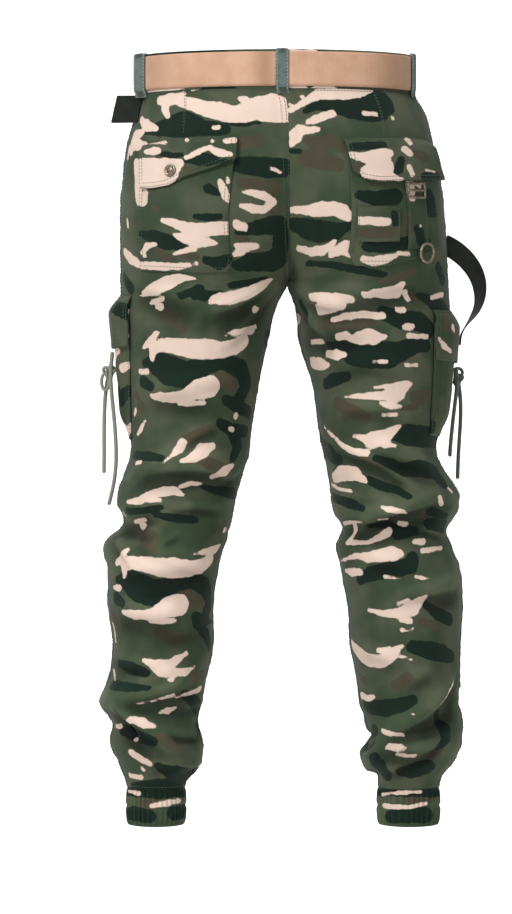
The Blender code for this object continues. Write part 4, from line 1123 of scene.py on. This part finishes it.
belt_turn = np.linspace(BELT_START, BELT_END, 420)[None, :]
belt_height = np.linspace(BELT_WIDTH / 2, -BELT_WIDTH / 2, 23)[:, None]
clear = 1.3 + (BELT_THICK + REST) * ease((belt_turn - (BELT_LAP - 12)) / 12)
edge = np.abs(belt_height) / (BELT_WIDTH / 2)
selvedge = -1.0 * np.clip((edge - 0.93) / 0.07, 0, 1) ** 2 - 0.35 * bell(edge - 0.86, 0.03)
outside = round_waist(belt_turn, belt_height, clear + BELT_THICK + selvedge)
inside = round_waist(belt_turn, belt_height, clear + 0 * belt_height)
# Painted shadow beside each loop, on the back of the belt only.
loop_shadows = sum(share * bell(outside[..., 0] - x, wide) for x, wide, share in BELT_LOOP_SHADOWS)
values = {**places_on(outside), "worn": loop_shadows * (outside[..., 1] > 0)}
sewn(
    "belt_webbing", "belt", (outside, inside), None, values, "stretched", ["waistband"],
    slot="belt_webbing", materials=[webbing],
)

# ---------------------------------------------------------------- cuffs
# Elastic in a 44 mm channel gathers each ankle into upright pleats.
CUFF_HEIGHT, CUFF_THICK = 44.0, 2.0
GATHERS = 34  # round one cuff
# The cuffs' charts: their dark ink is partly print and partly painted shade over the gathered cuffs, under small marks
# of cream and brown.
CUFF_PRINT_AND_SHADE = {
    LEFT: chart("""
        184 866 2, 173 868 3 / 158 883 2.5, 140 880 3.5, 126 877 3 ;
        188 862 9, 150 864 11, 118 862 10 / 180 892 9, 160 896 8 / 130 892 9, 112 888 8 ;
        152 880 7, 170 882 6
    """),
    RIGHT: chart("""
        120 869 2, 145 867 2.2, 166 866 1.5 / 122 883 3, 150 885 2.5, 172 880 2 ;
        112 862 9, 140 864 8, 184 864 9 / 130 896 8, 170 894 10 ;
        150 876 6, 176 874 6
    """),
}
for side, word in SIDES:
    bearing = np.linspace(-180, 180, 289)[None, :-1]
    places = base(side, bearing, np.full_like(bearing, CUFF_SEAM - 0.5))
    out = unit(normal_of(base, side, bearing, np.full_like(bearing, CUFF_SEAM - 2)) * (1, 1, 0))
    level = np.linspace(0, 1, 23)[:, None]
    phase = FULL_TURN * GATHERS * (bearing / 360) + 1.9 * uneven(bearing, 3.0 + side, 22.0)
    gather = (0.9 + 0.5 * uneven(bearing, 8.0, 30.0)) * np.sin(phase + 0.8 * uneven(level, 5.0, 0.6))
    gather = gather * ease(level / 0.1) * ease((1 - level) / 0.1) * (1 - 0.75 * bell(level - 0.5, 0.06))
    bulge = 1.5 * np.sin(math.pi * level) + gather - 0.8 * bell(level - 0.5, 0.05)
    outside = places + out * bulge[..., None]
    outside[..., 2] = -(CUFF_SEAM + SEAM + CUFF_HEIGHT * level)
    # The pleats' bulge goes in as the fold height, so the twill paints shade into their hollows and light onto their
    # ridges.
    values = {**printed(CUFF_PRINT_AND_SHADE[side], outside), "fold": bulge}
    walls = (outside, outside - out * CUFF_THICK)
    sewn(f"cuff_cloth_{word}", f"cuff_{word}", walls, None, values, "gathered", ring=True)

# ---------------------------------------------------------------- back pockets and flaps
# A patch pocket on each seat and a pointed flap over it. Their hems are turned under and
# stand a little proud. Each has its own chart of the print, placed as it is seen from behind.
RIB = "bearing_top bearing_foot top foot"
BACK_POCKET = {
    LEFT: table(RIB, "55 46 113 242, 77 70 109 243, 99 93 105 243, 123 114 104 240, 139 123 104 221"),
    RIGHT: table(RIB, "131 122 103 212, 120 111 103 231, 95 86 104 234, 70 64 105 226, 44 33 108 213"),
}
BACK_FLAP = {
    LEFT: table(RIB, """
        52 57 95 146, 71 71 92 146, 85 86 89 143, 99 99 88 134, 120 119 87 125, 141 139 87 114
    """),
    RIGHT: table(RIB, """
        134 127 89 127, 119 118 88 137, 103 106 88 140, 74 78 87 139, 46 52 87 138, 27 26 90 136
    """),
}
POCKET_SWELL = 2.0
HEM = 8.0
POCKET_PRINT = {
    LEFT: chart("""
        174 138 8, 171 149 9.5, 169 158 6 / 76 133 3, 73 140 5, 70 150 5, 64 156 4 / 67 130 2, 66 134 3 /
        144 180 3, 130 184 5, 112 191 8, 95 192 9, 78 190 8, 62 190 8 / 131 197 2, 118 202 6, 105 206 8,
        92 206 6, 80 208 2 / 131 221 2, 118 217 3, 108 213 5 / 152 209 2, 163 211 4, 168 219 3,
        166 224 2 / 178 234 4, 160 235 5, 145 236 5, 125 236 4, 112 234 3 / 104 232 2.5 ;
        170 197 4, 156 200 8, 140 206 10, 122 210 7 / 106 176 3, 92 177 5, 76 176 4 / 90 142 6, 76 148 4 /
        92 228 5, 76 232 8, 64 226 6 ;
        150 219 6, 138 226 5 / 120 223 4, 104 224 4 / 156 162 3, 150 168 4
    """),
    RIGHT: chart("""
        97 227 4, 110 230 6, 125 226 5, 134 223 3 / 139 220 2.5, 150 221 3 / 96 179 2, 104 182 3 ;
        92 150 6, 110 154 9, 134 152 10 / 100 212 6, 120 213 7, 146 208 8, 168 206 9 / 172 150 8,
        180 168 9 ;
        150 176 6, 152 190 8
    """),
}
FLAP_PRINT = {
    LEFT: chart("""
        162 86 2.5, 142 87 2.5 / 164 98 3, 155 97 5, 150 97 4 / 178 124 18, 160 124 18, 142 122 17,
        132 116 10, 125 112 6 / 116 105 3, 103 99 3, 93 94 3, 86 93 3 / 83 96 4, 73 100 5, 63 101 3 /
        115 84 2.5 / 85 85 2.5 / 69 85 3, 58 84 3 ;
        116 108 4, 98 107 9, 82 108 6 / 148 100 3, 132 103 4, 122 102 3 / 70 112 6, 60 114 6 ;
        150 104 3.5, 134 106 3 / 118 116 4, 112 124 5
    """),
    RIGHT: chart("""
        79 101 3, 92 104 5, 105 106 9, 120 104 10, 128 100 5 / 112 116 13, 122 117 11 / 100 122 8,
        112 125 7, 122 126 7, 133 129 4, 144 131 2 / 148 83 2.5, 153 88 2.5 / 146 95 4, 152 100 4 /
        151 116 3, 155 125 3 / 172 120 1.5, 181 122 1.5 ;
        84 92 5, 100 91 5, 120 90 5 / 142 108 5, 138 120 6 / 170 128 5, 182 128 6 ;
        157 99 4, 166 102 6, 173 107 4 / 88 116 6, 84 126 6
    """),
}


def edge_share(across, margin):
    """Rises from 0 at either edge to 1 at the margin."""
    return ease(np.minimum(across, 1 - across) / margin)


def hemmed(edges):
    """How far a turned hem lifts the face, with its edge rolled over."""
    near = np.minimum.reduce(np.broadcast_arrays(*edges))
    return 0.4 * ease((HEM - near) / 2) - 0.6 * np.exp(-near / 0.8)


def waves(points, seed, width, height):
    """A smooth uneven field, mostly between -1 and 1, over points by their x and z."""
    flat = [noise.noise(Vector((x / width, z / height, seed))) for x, _, z in points.reshape(-1, 3)]
    return 1.6 * np.array(flat).reshape(points.shape[:-1])


def patch(name, stands_for, side, ribs_down, size, height, relief, cut, held, rests_on, slot="camo_twill"):
    """A piece that lies on the panels, on ribs that run down it at this side.

    height is the clear height under it and relief is what its face stands above a plain
    1.5 mm. Both are read over its grid of this size, from its shares across and down.
    """
    rows, columns = size
    spots = np.arange(len(ribs_down["top"]))
    at = np.linspace(0, spots[-1], columns)
    rib = {key: np.interp(at, spots, ribs_down[key])[None, :] for key in ribs_down}
    down, across = np.meshgrid(np.linspace(0, 1, rows), at / spots[-1], indexing="ij")
    bearing = rib["bearing_top"] + (rib["bearing_foot"] - rib["bearing_top"]) * down
    drop = rib["top"] + (rib["foot"] - rib["top"]) * down
    cloth = skin(side, bearing, drop)
    out = normal_of(skin, side, bearing, drop)
    under = height(across, down)
    face = under + CLOTH + relief(cloth, from_edges(cloth), across, down)
    outside, inside = (cloth + out * lift[..., None] for lift in (face, under))
    values = {"fold": np.zeros((1, 1)), **printed(cut, outside)}
    sewn(name, stands_for, (outside, inside), out, values, held, rests_on, slot)


def on_pocket(across, down):
    """The clear height of what lies flat on a back pocket."""
    return REST + POCKET_SWELL + CLOTH + REST + 0.3 + 0 * across


for side, word in SIDES:

    def pocket_under(across, down):
        return REST + POCKET_SWELL * edge_share(across, 0.3) * edge_share(down, 0.3)

    def pocket_relief(cloth, edges, across, down):
        inner = edge_share(across, 0.25) * edge_share(down, 0.25)
        return hemmed(edges) + 0.45 * inner * waves(cloth, 3.1 * side, 34, 15) - 0.2 * inner

    def flap_under(across, down):
        full = POCKET_SWELL + CLOTH + REST + 0.5
        lift = REST + full * ease(down / 0.2) + 1.4 * ease((down - 0.5) / 0.5) ** 2
        return lift + ((CLOTH + REST + 0.6) * ease(down / 0.6) if side == RIGHT else 0)

    def flap_relief(cloth, edges, across, down):
        return hemmed(edges) + 0.5 * ease(down) * waves(cloth, 7.7 * side, 26, 30)

    patch(
        f"back_pocket_cloth_{word}", f"back_pocket_{word}", side, BACK_POCKET[side], (64, 58),
        pocket_under, pocket_relief, POCKET_PRINT[side], "laid", [f"back_{word}"],
    )
    patch(
        f"back_flap_cloth_{word}", f"back_flap_{word}", side, BACK_FLAP[side], (32, 66),
        flap_under, flap_relief, FLAP_PRINT[side], "hung", [f"back_pocket_{word}"],
    )

# ---------------------------------------------------------------- pen slot and buckled strap
# A short band is sewn across the right back pocket, and beside it a folded strap hangs from
# under the flap through a small slide, and holds a wire ring.
PEN_SLOT = table(RIB, "121 117 166 201, 103 100 166 203, 86 83 167 204")
BUCKLE_STRAP = table(RIB, "83 74 122 214, 73 64 122 214, 63 54 122 214")
PEN_PRINT = chart("""
    86 181 4.5, 104 181 5, 115 182 5.5, 125 182 5 ;
    134 172 4, 135 184 4 ;
    90 195 6, 108 196 7, 130 194 7
""")
STRAP_PRINT = chart("""
    151 130 4, 153 143 5, 155 154 4 / 160 136 2.5, 165 141 2 / 165 187 1.8 ;
    162 190 5, 166 206 6
""")


def slot_relief(cloth, edges, across, down):
    """The pen slot's hem."""
    return hemmed(edges) * 0.8


def strap_relief(cloth, edges, across, down):
    """The strap's folded edges, and its slight wave."""
    return 0.5 * hemmed(edges) + 0.5 * waves(cloth, 2.2, 60, 16) * edge_share(down, 0.2)


patch(
    "pen_slot_cloth", "pen_slot_right", RIGHT, PEN_SLOT, (24, 30),
    on_pocket, slot_relief, PEN_PRINT, "laid", ["back_pocket_right"],
)
patch(
    "buckle_strap_cloth", "buckle_strap_right", RIGHT, BUCKLE_STRAP, (56, 15),
    on_pocket, strap_relief, STRAP_PRINT, "hung", ["back_pocket_right"], "loop_twill",
)

# ---------------------------------------------------------------- snap, slide and ring
# The small metal parts of the back pockets: the cap that closes the left flap, the slide on
# the strap and its ring. All are steel with a dark antique plating, rubbed through in patches.
SNAP_PROFILE = """
    7.3 -0.6, 7.5 0, 7.5 1.3, 7.3 1.9, 6.9 2.35, 6.2 2.6, 5.6 2.5, 5.1 2.1, 4.7 1.9, 3.6 1.95, 2.9 2.3,
    2.2 2.75, 1.2 2.95, 0.3 3
"""  # radius and height
SLIDE_WIDTH, SLIDE_HEIGHT, SLIDE_WIRE, SLIDE_BAR = 27.0, 17.0, 1.5, 1.3
RING_RADIUS, RING_WIRE = 11.0, 1.6
gunmetal, shader = new_material("antique_plated_steel", Roughness=0.42, Metallic=0.9)
scuffs = node(shader, "TexNoise", Vector=node(shader, "TexCoord", output="Object"), Scale=420.0, Detail=5.0)
rubbed = node(shader, "MapRange", scuffs, 0.4, 0.68)
give(shader, {"Base Color": node(shader, "MixRGB", rubbed, linear("5c5347"), linear("8d8270"))})


def read_skin(side, bearing, drop, height):
    """A place that stands out from the cloth, with its normal, its left and its up."""
    bearing, drop = np.array([float(bearing)]), np.array([float(drop)])
    normal = normal_of(skin, side, bearing, drop)[0]
    across = unit(np.cross(normal, (0, 0, 1)))
    return skin(side, bearing, drop)[0] + normal * height, normal, across, np.cross(across, normal)


def squarish(wave, other):
    """Draws one wave of a circle out towards a square's."""
    return 0.75 * wave / np.maximum(np.abs(wave), np.abs(other)) + 0.25 * wave


over_flap = REST + POCKET_SWELL + CLOTH + REST + CLOTH + SEAM
centre, normal, across, up = read_skin(LEFT, 88, 127, over_flap + 0.6)
angle = np.linspace(0, FULL_TURN, 65)[:-1, None]
spoke = np.cos(angle) * across + np.sin(angle) * up
rings = np.array([centre + spoke * radius + normal * height for radius, height in chains(SNAP_PROFILE)[0]])
faces = grid_faces(*rings.shape[:2], ring=True)
faces += [list(range(64)), list(range(rings.size // 3 - 64, rings.size // 3))]
piece("snap_cap", rings, faces, [gunmetal], "gunmetal", "snap_left", smooth_to=40)

centre, normal, across, up = read_skin(RIGHT, 56, 219, over_flap - SEAM + 1.6)
angle = np.linspace(0, FULL_TURN, 73)[:-1, None]
wave, other = np.cos(angle), np.sin(angle)
circle = centre + RING_RADIUS * (wave * across + other * up)
piece("strap_wire_ring", *tube(circle, RING_WIRE, 16, True), [gunmetal], "gunmetal", "strap_ring_right")

centre, normal, across, up = read_skin(RIGHT, 70.5, 149, on_pocket(0, 0) + CLOTH + 1.6)
wide, high = SLIDE_WIDTH / 2 * squarish(wave, other), SLIDE_HEIGHT / 2 * squarish(other, wave)
piece("strap_slide", *tube(centre + wide * across + high * up, SLIDE_WIRE, 16, True), [gunmetal], "gunmetal")
bar = centre + np.linspace(-1, 1, 9)[:, None] * across * (SLIDE_WIDTH / 2) + normal * 0.4
piece("strap_slide_bar", *tube(bar, SLIDE_BAR, 16), [gunmetal], "gunmetal")

# ---------------------------------------------------------------- cargo pockets and flaps
# A bellows pocket on each thigh, centred a little in front of the side seam, with a deep
# flap. The bellows fold once along each side, and the flap's lower corners lift.
CARGO = {
    LEFT: table(RIB, "30 14 288 442, 8 -8 288 444, -27 -40 288 445, -62 -74 288 444, -84 -94 288 442"),
    RIGHT: table(RIB, "39 36 304 437, 17 14 304 439, -18 -20 304 440, -53 -54 304 439, -74 -76 304 437"),
}
CARGO_FLAP = {
    LEFT: table(RIB, "32 29 272 331, 8 5 272 333, -27 -30 272 334, -62 -65 272 333, -87 -89 272 331"),
    RIGHT: table(RIB, "41 39 289 348, 17 15 289 350, -18 -19 289 351, -53 -54 289 350, -77 -79 289 348"),
}
CARGO_DEPTH = {LEFT: 10.0, RIGHT: 8.0}
CARGO_REST = 1.0
CARGO_CUT = {LEFT: (150.0, 40.0), RIGHT: (480.0, 170.0)}  # where on the roll a pocket was cut
CARGO_FLAP_CUT = {LEFT: (610.0, 215.0), RIGHT: (60.0, 95.0)}

for side, word in SIDES:
    depth = CARGO_DEPTH[side]

    def pouch_under(across, down):
        sides, top, foot = edge_share(across, 0.16), ease((down + 0.06) / 0.2), ease((1 - down) / 0.24)
        return CARGO_REST + depth * sides * top * foot - 1.3 * bell(sides - 0.5, 0.16) * foot

    def pouch_relief(cloth, edges, across, down):
        middle = edge_share(across, 0.3) * edge_share(down, 0.3)
        return hemmed(edges) + 0.9 * middle * waves(cloth, 4.4 * side, 40, 17)

    def cargo_flap_under(across, down):
        over = CARGO_REST + (CLOTH + REST + 0.9) * ease(down / 0.16)
        corner = 1.6 * ease((down - 0.6) / 0.4) * (1 - edge_share(across, 0.2))
        return over + depth * edge_share(across, 0.16) * ease(down / 0.34) + corner

    def cargo_flap_relief(cloth, edges, across, down):
        return hemmed(edges) + 0.6 * ease(down) * (1 + waves(cloth, 9.1 * side, 24, 30)) / 2

    patch(
        f"cargo_pocket_cloth_{word}", f"cargo_pocket_{word}", side, CARGO[side], (80, 96),
        pouch_under, pouch_relief, CARGO_CUT[side], "gathered", [f"back_{word}", f"front_{word}"],
    )
    patch(
        f"cargo_flap_cloth_{word}", f"cargo_flap_{word}", side, CARGO_FLAP[side], (36, 96),
        cargo_flap_under, cargo_flap_relief, CARGO_FLAP_CUT[side], "hung", [f"cargo_pocket_{word}"],
    )

# ---------------------------------------------------------------- belt loops and buckle
# Folded strips of plain twill over the belt, and at the front a plain brushed plate.
LOOP = table("height out", """
    23.6 1.5, 22.4 3.4, 20.9 5, 15 5.4, -15 5.4, -20.9 5, -23.5 3.3, -26.2 1.7, -28.6 1.5
""")
LOOP_TURNS = {"back": 0.6, "left": 72, "right": 284}
LOOP_WIDTH = 15.0
LOOP_SWING = math.radians(36)  # of the left loop, whose front edge stands away


def plain_cloth(name, hex_code, ink, rib, roughness=0.9):
    """A plain dyed cloth whose ribs are this wide, mottled at random with a darker ink."""
    made, shader = new_material(
        name, Roughness=roughness, Specular_IOR_Level=0.15, Sheen_Weight=0.04, Sheen_Roughness=0.5
    )
    cloth = node(shader, "Attribute", output="Vector", attribute_name="cloth")
    split = node(shader, "SeparateXYZ", cloth)
    height = ribs(shader, node(shader, "Math", split, split.node.outputs[1], operation="ADD"), rib)
    fade = node(shader, "TexNoise", Vector=cloth, Scale=1 / 11, Detail=4.0)
    tint = node(shader, "MixRGB", node(shader, "MapRange", fade, 0.3, 0.7), linear(hex_code), linear(ink))
    bump = node(shader, "Bump", Height=height, Distance=0.00025, Strength=0.5)
    give(shader, {"Base Color": tint, "Normal": bump})
    return made


def strip_grids(middle, across, width, thick, columns):
    """The two faces of a flat strip along a path, where across points along its width."""
    across = unit(across)
    face = unit(np.cross(np.gradient(middle, axis=0), across))
    share = np.linspace(-1, 1, columns)
    spread = middle[:, None] + share[None, :, None] * across[:, None] * width / 2
    rolled = 0.35 * thick * np.clip((np.abs(share) - 0.88) / 0.12, 0, 1) ** 2
    half = face[:, None] * (thick / 2 - rolled)[None, :, None]
    return spread + half, spread - half, face


def drawn(rows, count):
    """Each column of a table, read smoothly at this many places from its first row to its last."""
    spots = np.arange(len(next(iter(rows.values()))))
    return [smooth(np.linspace(0, spots[-1], count), spots, column) for column in rows.values()]


def swung(middle, across):
    """Turns a strip about its rear edge, so that its front edge stands away from the belt."""
    across = unit(across)
    out = np.cross((0, 0, 1), across)
    out *= np.sign((out * middle).sum(axis=-1, keepdims=True))
    away = math.cos(LOOP_SWING) * across + math.sin(LOOP_SWING) * out
    return middle + (away - across) * LOOP_WIDTH / 2, away


loop_cloth = plain_cloth("plain_twill", "535e5c", "414c49", 2.2)
for word, turn in LOOP_TURNS.items():
    height, out = drawn(LOOP, 49)
    middle = round_waist(turn, height, out)
    across = round_waist(turn + 1, height, out) - middle
    if word == "left":
        middle, across = swung(middle, across)
    outside, inside, face = strip_grids(middle, across, LOOP_WIDTH, CLOTH, 13)
    if (face[24] * round_waist(turn, 0, 1)).sum() < 0:
        outside, inside, face = inside, outside, -face
    sewn(
        f"belt_loop_cloth_{word}", f"belt_loop_{word}", (outside, inside), face[:, None] + 0 * outside,
        places_on(outside), "laid", ["waistband"], slot="loop_twill", materials=[loop_cloth],
    )

PLATE_HALF_TURN, PLATE_HALF_HEIGHT = 9, 24
brushed, shader = new_material("brushed_steel", Metallic=1.0, Anisotropic=0.4, Base_Color=linear("a3a29c"))
grain = node(shader, "Mapping", Vector=node(shader, "TexCoord", output="Object"), Scale=(40.0, 40.0, 1600.0))
grain = node(shader, "TexNoise", Vector=grain, Scale=1.0, Detail=3.0)
give(shader, {"Roughness": node(shader, "MapRange", grain, To_Min=0.28, To_Max=0.5)})
plate_turn = np.linspace(180 - PLATE_HALF_TURN, 180 + PLATE_HALF_TURN, 49)[None, :]
plate_height = np.linspace(PLATE_HALF_HEIGHT, -PLATE_HALF_HEIGHT, 41)[:, None]
sunk = np.maximum(np.abs(plate_height) / PLATE_HALF_HEIGHT, np.abs(plate_turn - 180) / PLATE_HALF_TURN)
rim = 0.7 * ease((sunk - 0.84) / 0.04) - 1.3 * np.clip((sunk - 0.93) / 0.07, 0, 1) ** 2
over_belt = 1.3 + 2 * (BELT_THICK + REST)
outside, inside = (round_waist(plate_turn, plate_height, over_belt + lift) for lift in (2.0 + rim, 0 * rim))
shell("belt_plate", outside, inside, {}, [brushed], "steel", "belt_buckle")

# ---------------------------------------------------------------- dark webbing
# Tape woven from dark polyester: a loop that stands away from the right hip, and a tab
# folded back on itself at the left one.
WEBBING = table("x y z twist", """
    -194 -34 -208 10, -200 -28 -211 12, -209 -20 -217 16, -220 -13 -227 22, -230 -9 -241 32,
    -235.5 -7 -256 42, -236.5 -6 -272 54, -233 -5 -286 66, -226 -5 -298 78, -219 -5 -308 87,
    -214 -6 -318 90, -212.5 -6 -330 90
""")
TAB = table("bearing out", """
    31 1, 27.5 3.6, 24.5 10, 21.5 18.5, 19.3 25.5, 18 28, 16.7 25.5, 18.2 17.5, 20.5 9.5, 22.8 4.2, 24.2 2.2
""")
WEBBING_WIDTH, WEBBING_THICK, WEAVE = 25.0, 1.8, 3.1
TAB_TOP, TAB_FOOT = 32.0, 66.0
dark_tape = plain_cloth("dark_woven_tape", "121812", "0a0e0b", 1.8, 0.75)


def tape(name, stands_for, middle, across, width, panel):
    """A woven tape along a path, sewn to a panel."""
    outside, inside, _ = strip_grids(middle, across, width, WEBBING_THICK, 21)
    values = places_on(outside)
    weave = 0.18 * np.abs(np.sin(FULL_TURN * values["cloth"][..., :1] / WEAVE))
    face = unit(np.cross(np.gradient(outside, axis=0), np.gradient(outside, axis=1)))
    outside = outside + face * weave * np.sign((face * (inside - outside)).sum(-1, keepdims=True))
    sewn(
        name, stands_for, (outside, inside), None, values, "hung", [panel],
        slot="dark_webbing", materials=[dark_tape],
    )


*middle, twist = drawn(WEBBING, 90)
middle, twist = np.stack(middle, axis=-1), np.radians(twist)[:, None]
in_plane = unit(np.cross(np.gradient(middle, axis=0), (0, 1, 0)))
across = np.cos(twist) * in_plane + np.sin(twist) * np.array((0, 1, 0))
tape("webbing_tape_right", "webbing_loop_right", middle, across, WEBBING_WIDTH, "back_right")

bearing, out = drawn(TAB, 90)
ends = []
for drop in (TAB_TOP, TAB_FOOT):
    places = np.full_like(bearing, drop)
    level = unit(normal_of(skin, LEFT, bearing, places) * (1, 1, 0))
    ends.append(skin(LEFT, bearing, places) + level * out[:, None])
middle, across = (ends[0] + ends[1]) / 2, ends[1] - ends[0]
tape("hip_tab_tape_left", "hip_tab_left", middle, across, TAB_FOOT - TAB_TOP, "back_left")

# ---------------------------------------------------------------- stitching
# Twin needle seams, hems, darts and bar tacks in dark polyester thread. Each stitch is a
# short raised bar, drawn a little longer and thicker than the real 2.5 mm by 0.4 mm.
STITCH_LENGTH, STITCH_GAP, THREAD = 3.1, 1.1, 0.45
SEAM_AWAY = (2.2, 7.6)  # the two needles, in from a seam
thread, _ = new_material("polyester_thread", Roughness=0.6, Base_Color=linear("2b352b"))
pale_thread, _ = new_material("pale_thread", Roughness=0.6, Base_Color=linear("8a8f80"))


def beside(stands_for, edges, aways, trim=None):
    """Lines along the edges of a piece ("top", "foot", "first" or "last"), these distances in.

    Each is its points and normals, with the trim at its ends, which is the distance in if
    none is given.
    """
    both = np.concatenate(sewn_grids[stands_for], axis=-1)
    upright = both.swapaxes(0, 1)
    turned = {"first": both, "last": both[:, ::-1], "top": upright, "foot": upright[:, ::-1]}
    lines = []
    for edge in edges.split():
        for away in aways:
            line = [
                [np.interp(away, length_along(column[:, :3]), column[:, k]) for k in range(6)]
                for column in turned[edge]
            ]
            lines.append((np.array(line), away if trim is None else trim))
    return lines


def dart(side, bearing, foot):
    """A sewn dart from the waistband down to its point."""
    drop = np.linspace(WAIST_SEAM + 1, foot, 40)
    place = np.full_like(drop, bearing)
    return np.concatenate([skin(side, place, drop), normal_of(skin, side, place, drop)], axis=-1), 1


def stitches(name, lines, material, length=STITCH_LENGTH, gap=STITCH_GAP, radius=THREAD):
    """One mesh of the stitches along these lines, each a bar of three rings of five points."""
    points, faces = [], []
    turn = np.linspace(0, FULL_TURN, 6)[None, :-1, None]
    bands = grid_faces(3, 5, ring=True) + [[4, 3, 2, 1, 0], [10, 11, 12, 13, 14]]
    total = 0
    for line, trim in lines:
        along = length_along(line[:, :3])
        places = np.arange(trim + length / 2, along[-1] - trim - length / 2, length + gap)
        before, here, after = (
            np.stack([np.interp(places + step, along, line[:, k]) for k in range(6)], axis=-1)
            for step in (-0.5, 0, 0.5)
        )
        ahead = unit(after[:, :3] - before[:, :3])
        up = unit(here[:, 3:] - (here[:, 3:] * ahead).sum(1, keepdims=True) * ahead)
        round_it = np.cos(turn) * np.cross(ahead, up)[:, None] + np.sin(turn) * up[:, None]
        rings = [
            (here[:, :3] + ahead * at * length + up * lift)[:, None] + radius * size * round_it
            for at, size, lift in ((-0.5, 0.5, -0.2), (0, 1, 0.2), (0.5, 0.5, -0.2))
        ]
        points.append(np.stack(rings, axis=1).reshape(-1, 3))
        faces += [[total + each * 15 + i for i in face] for each in range(len(places)) for face in bands]
        total += len(points[-1])
    made = new_object(name, np.concatenate(points), faces, [material], smooth_to=80)
    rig.ride(made, "root")
    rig.slot(made, "camo_twill")


seams, hems, loop_seams, tacks = [], [], [], []
for side, word in SIDES:
    back, front = f"back_{word}", f"front_{word}"
    seams += beside(back, "first", SEAM_AWAY, 3) + beside(front, "last", SEAM_AWAY, 3)
    seams += beside(back, "top", [2.4], 3) + beside(front, "top", [2.4], 3)
    seams += beside(back, "foot", [2.6], 3) + beside(front, "foot", [2.6], 3)
    seams += [dart(side, 96, 86), dart(side, 94.5, 78)]
    hems += beside(f"back_pocket_{word}", "first last foot", (1.6, 6.6))
    hems += beside(f"back_flap_{word}", "first last foot top", (1.6, 6.2))
    hems += beside(f"cargo_pocket_{word}", "first last foot", [1.6], 2)
    hems += beside(f"cargo_flap_{word}", "first last foot top", (1.6, 6.6))
seams += [(line[:82], trim) for line, trim in beside("back_left", "last", SEAM_AWAY, 3)]
hems += beside("pen_slot_right", "first last foot top", [1.5])
hems += beside("buckle_strap_right", "first last", [1.5])
for word in LOOP_TURNS:
    loop_seams += beside(f"belt_loop_{word}", "first last", [1.6], 2)
    tacks += beside(f"belt_loop_{word}", "top foot", np.arange(1.0, 8.0, 0.8), 1.2)
stitches("panel_stitches", seams, thread)
stitches("pocket_stitches", hems, thread)
stitches("loop_stitches", loop_seams, pale_thread)
stitches("bar_tacks", tacks, thread, length=12.0, radius=0.42)

# ---------------------------------------------------------------- sizes
# The box of the solids and the box of the finished model.
visual_box = [list(corner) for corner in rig.bounds()]
with open("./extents.json", "w") as file:
    json.dump({"cad": cad_box, "visual": visual_box}, file)
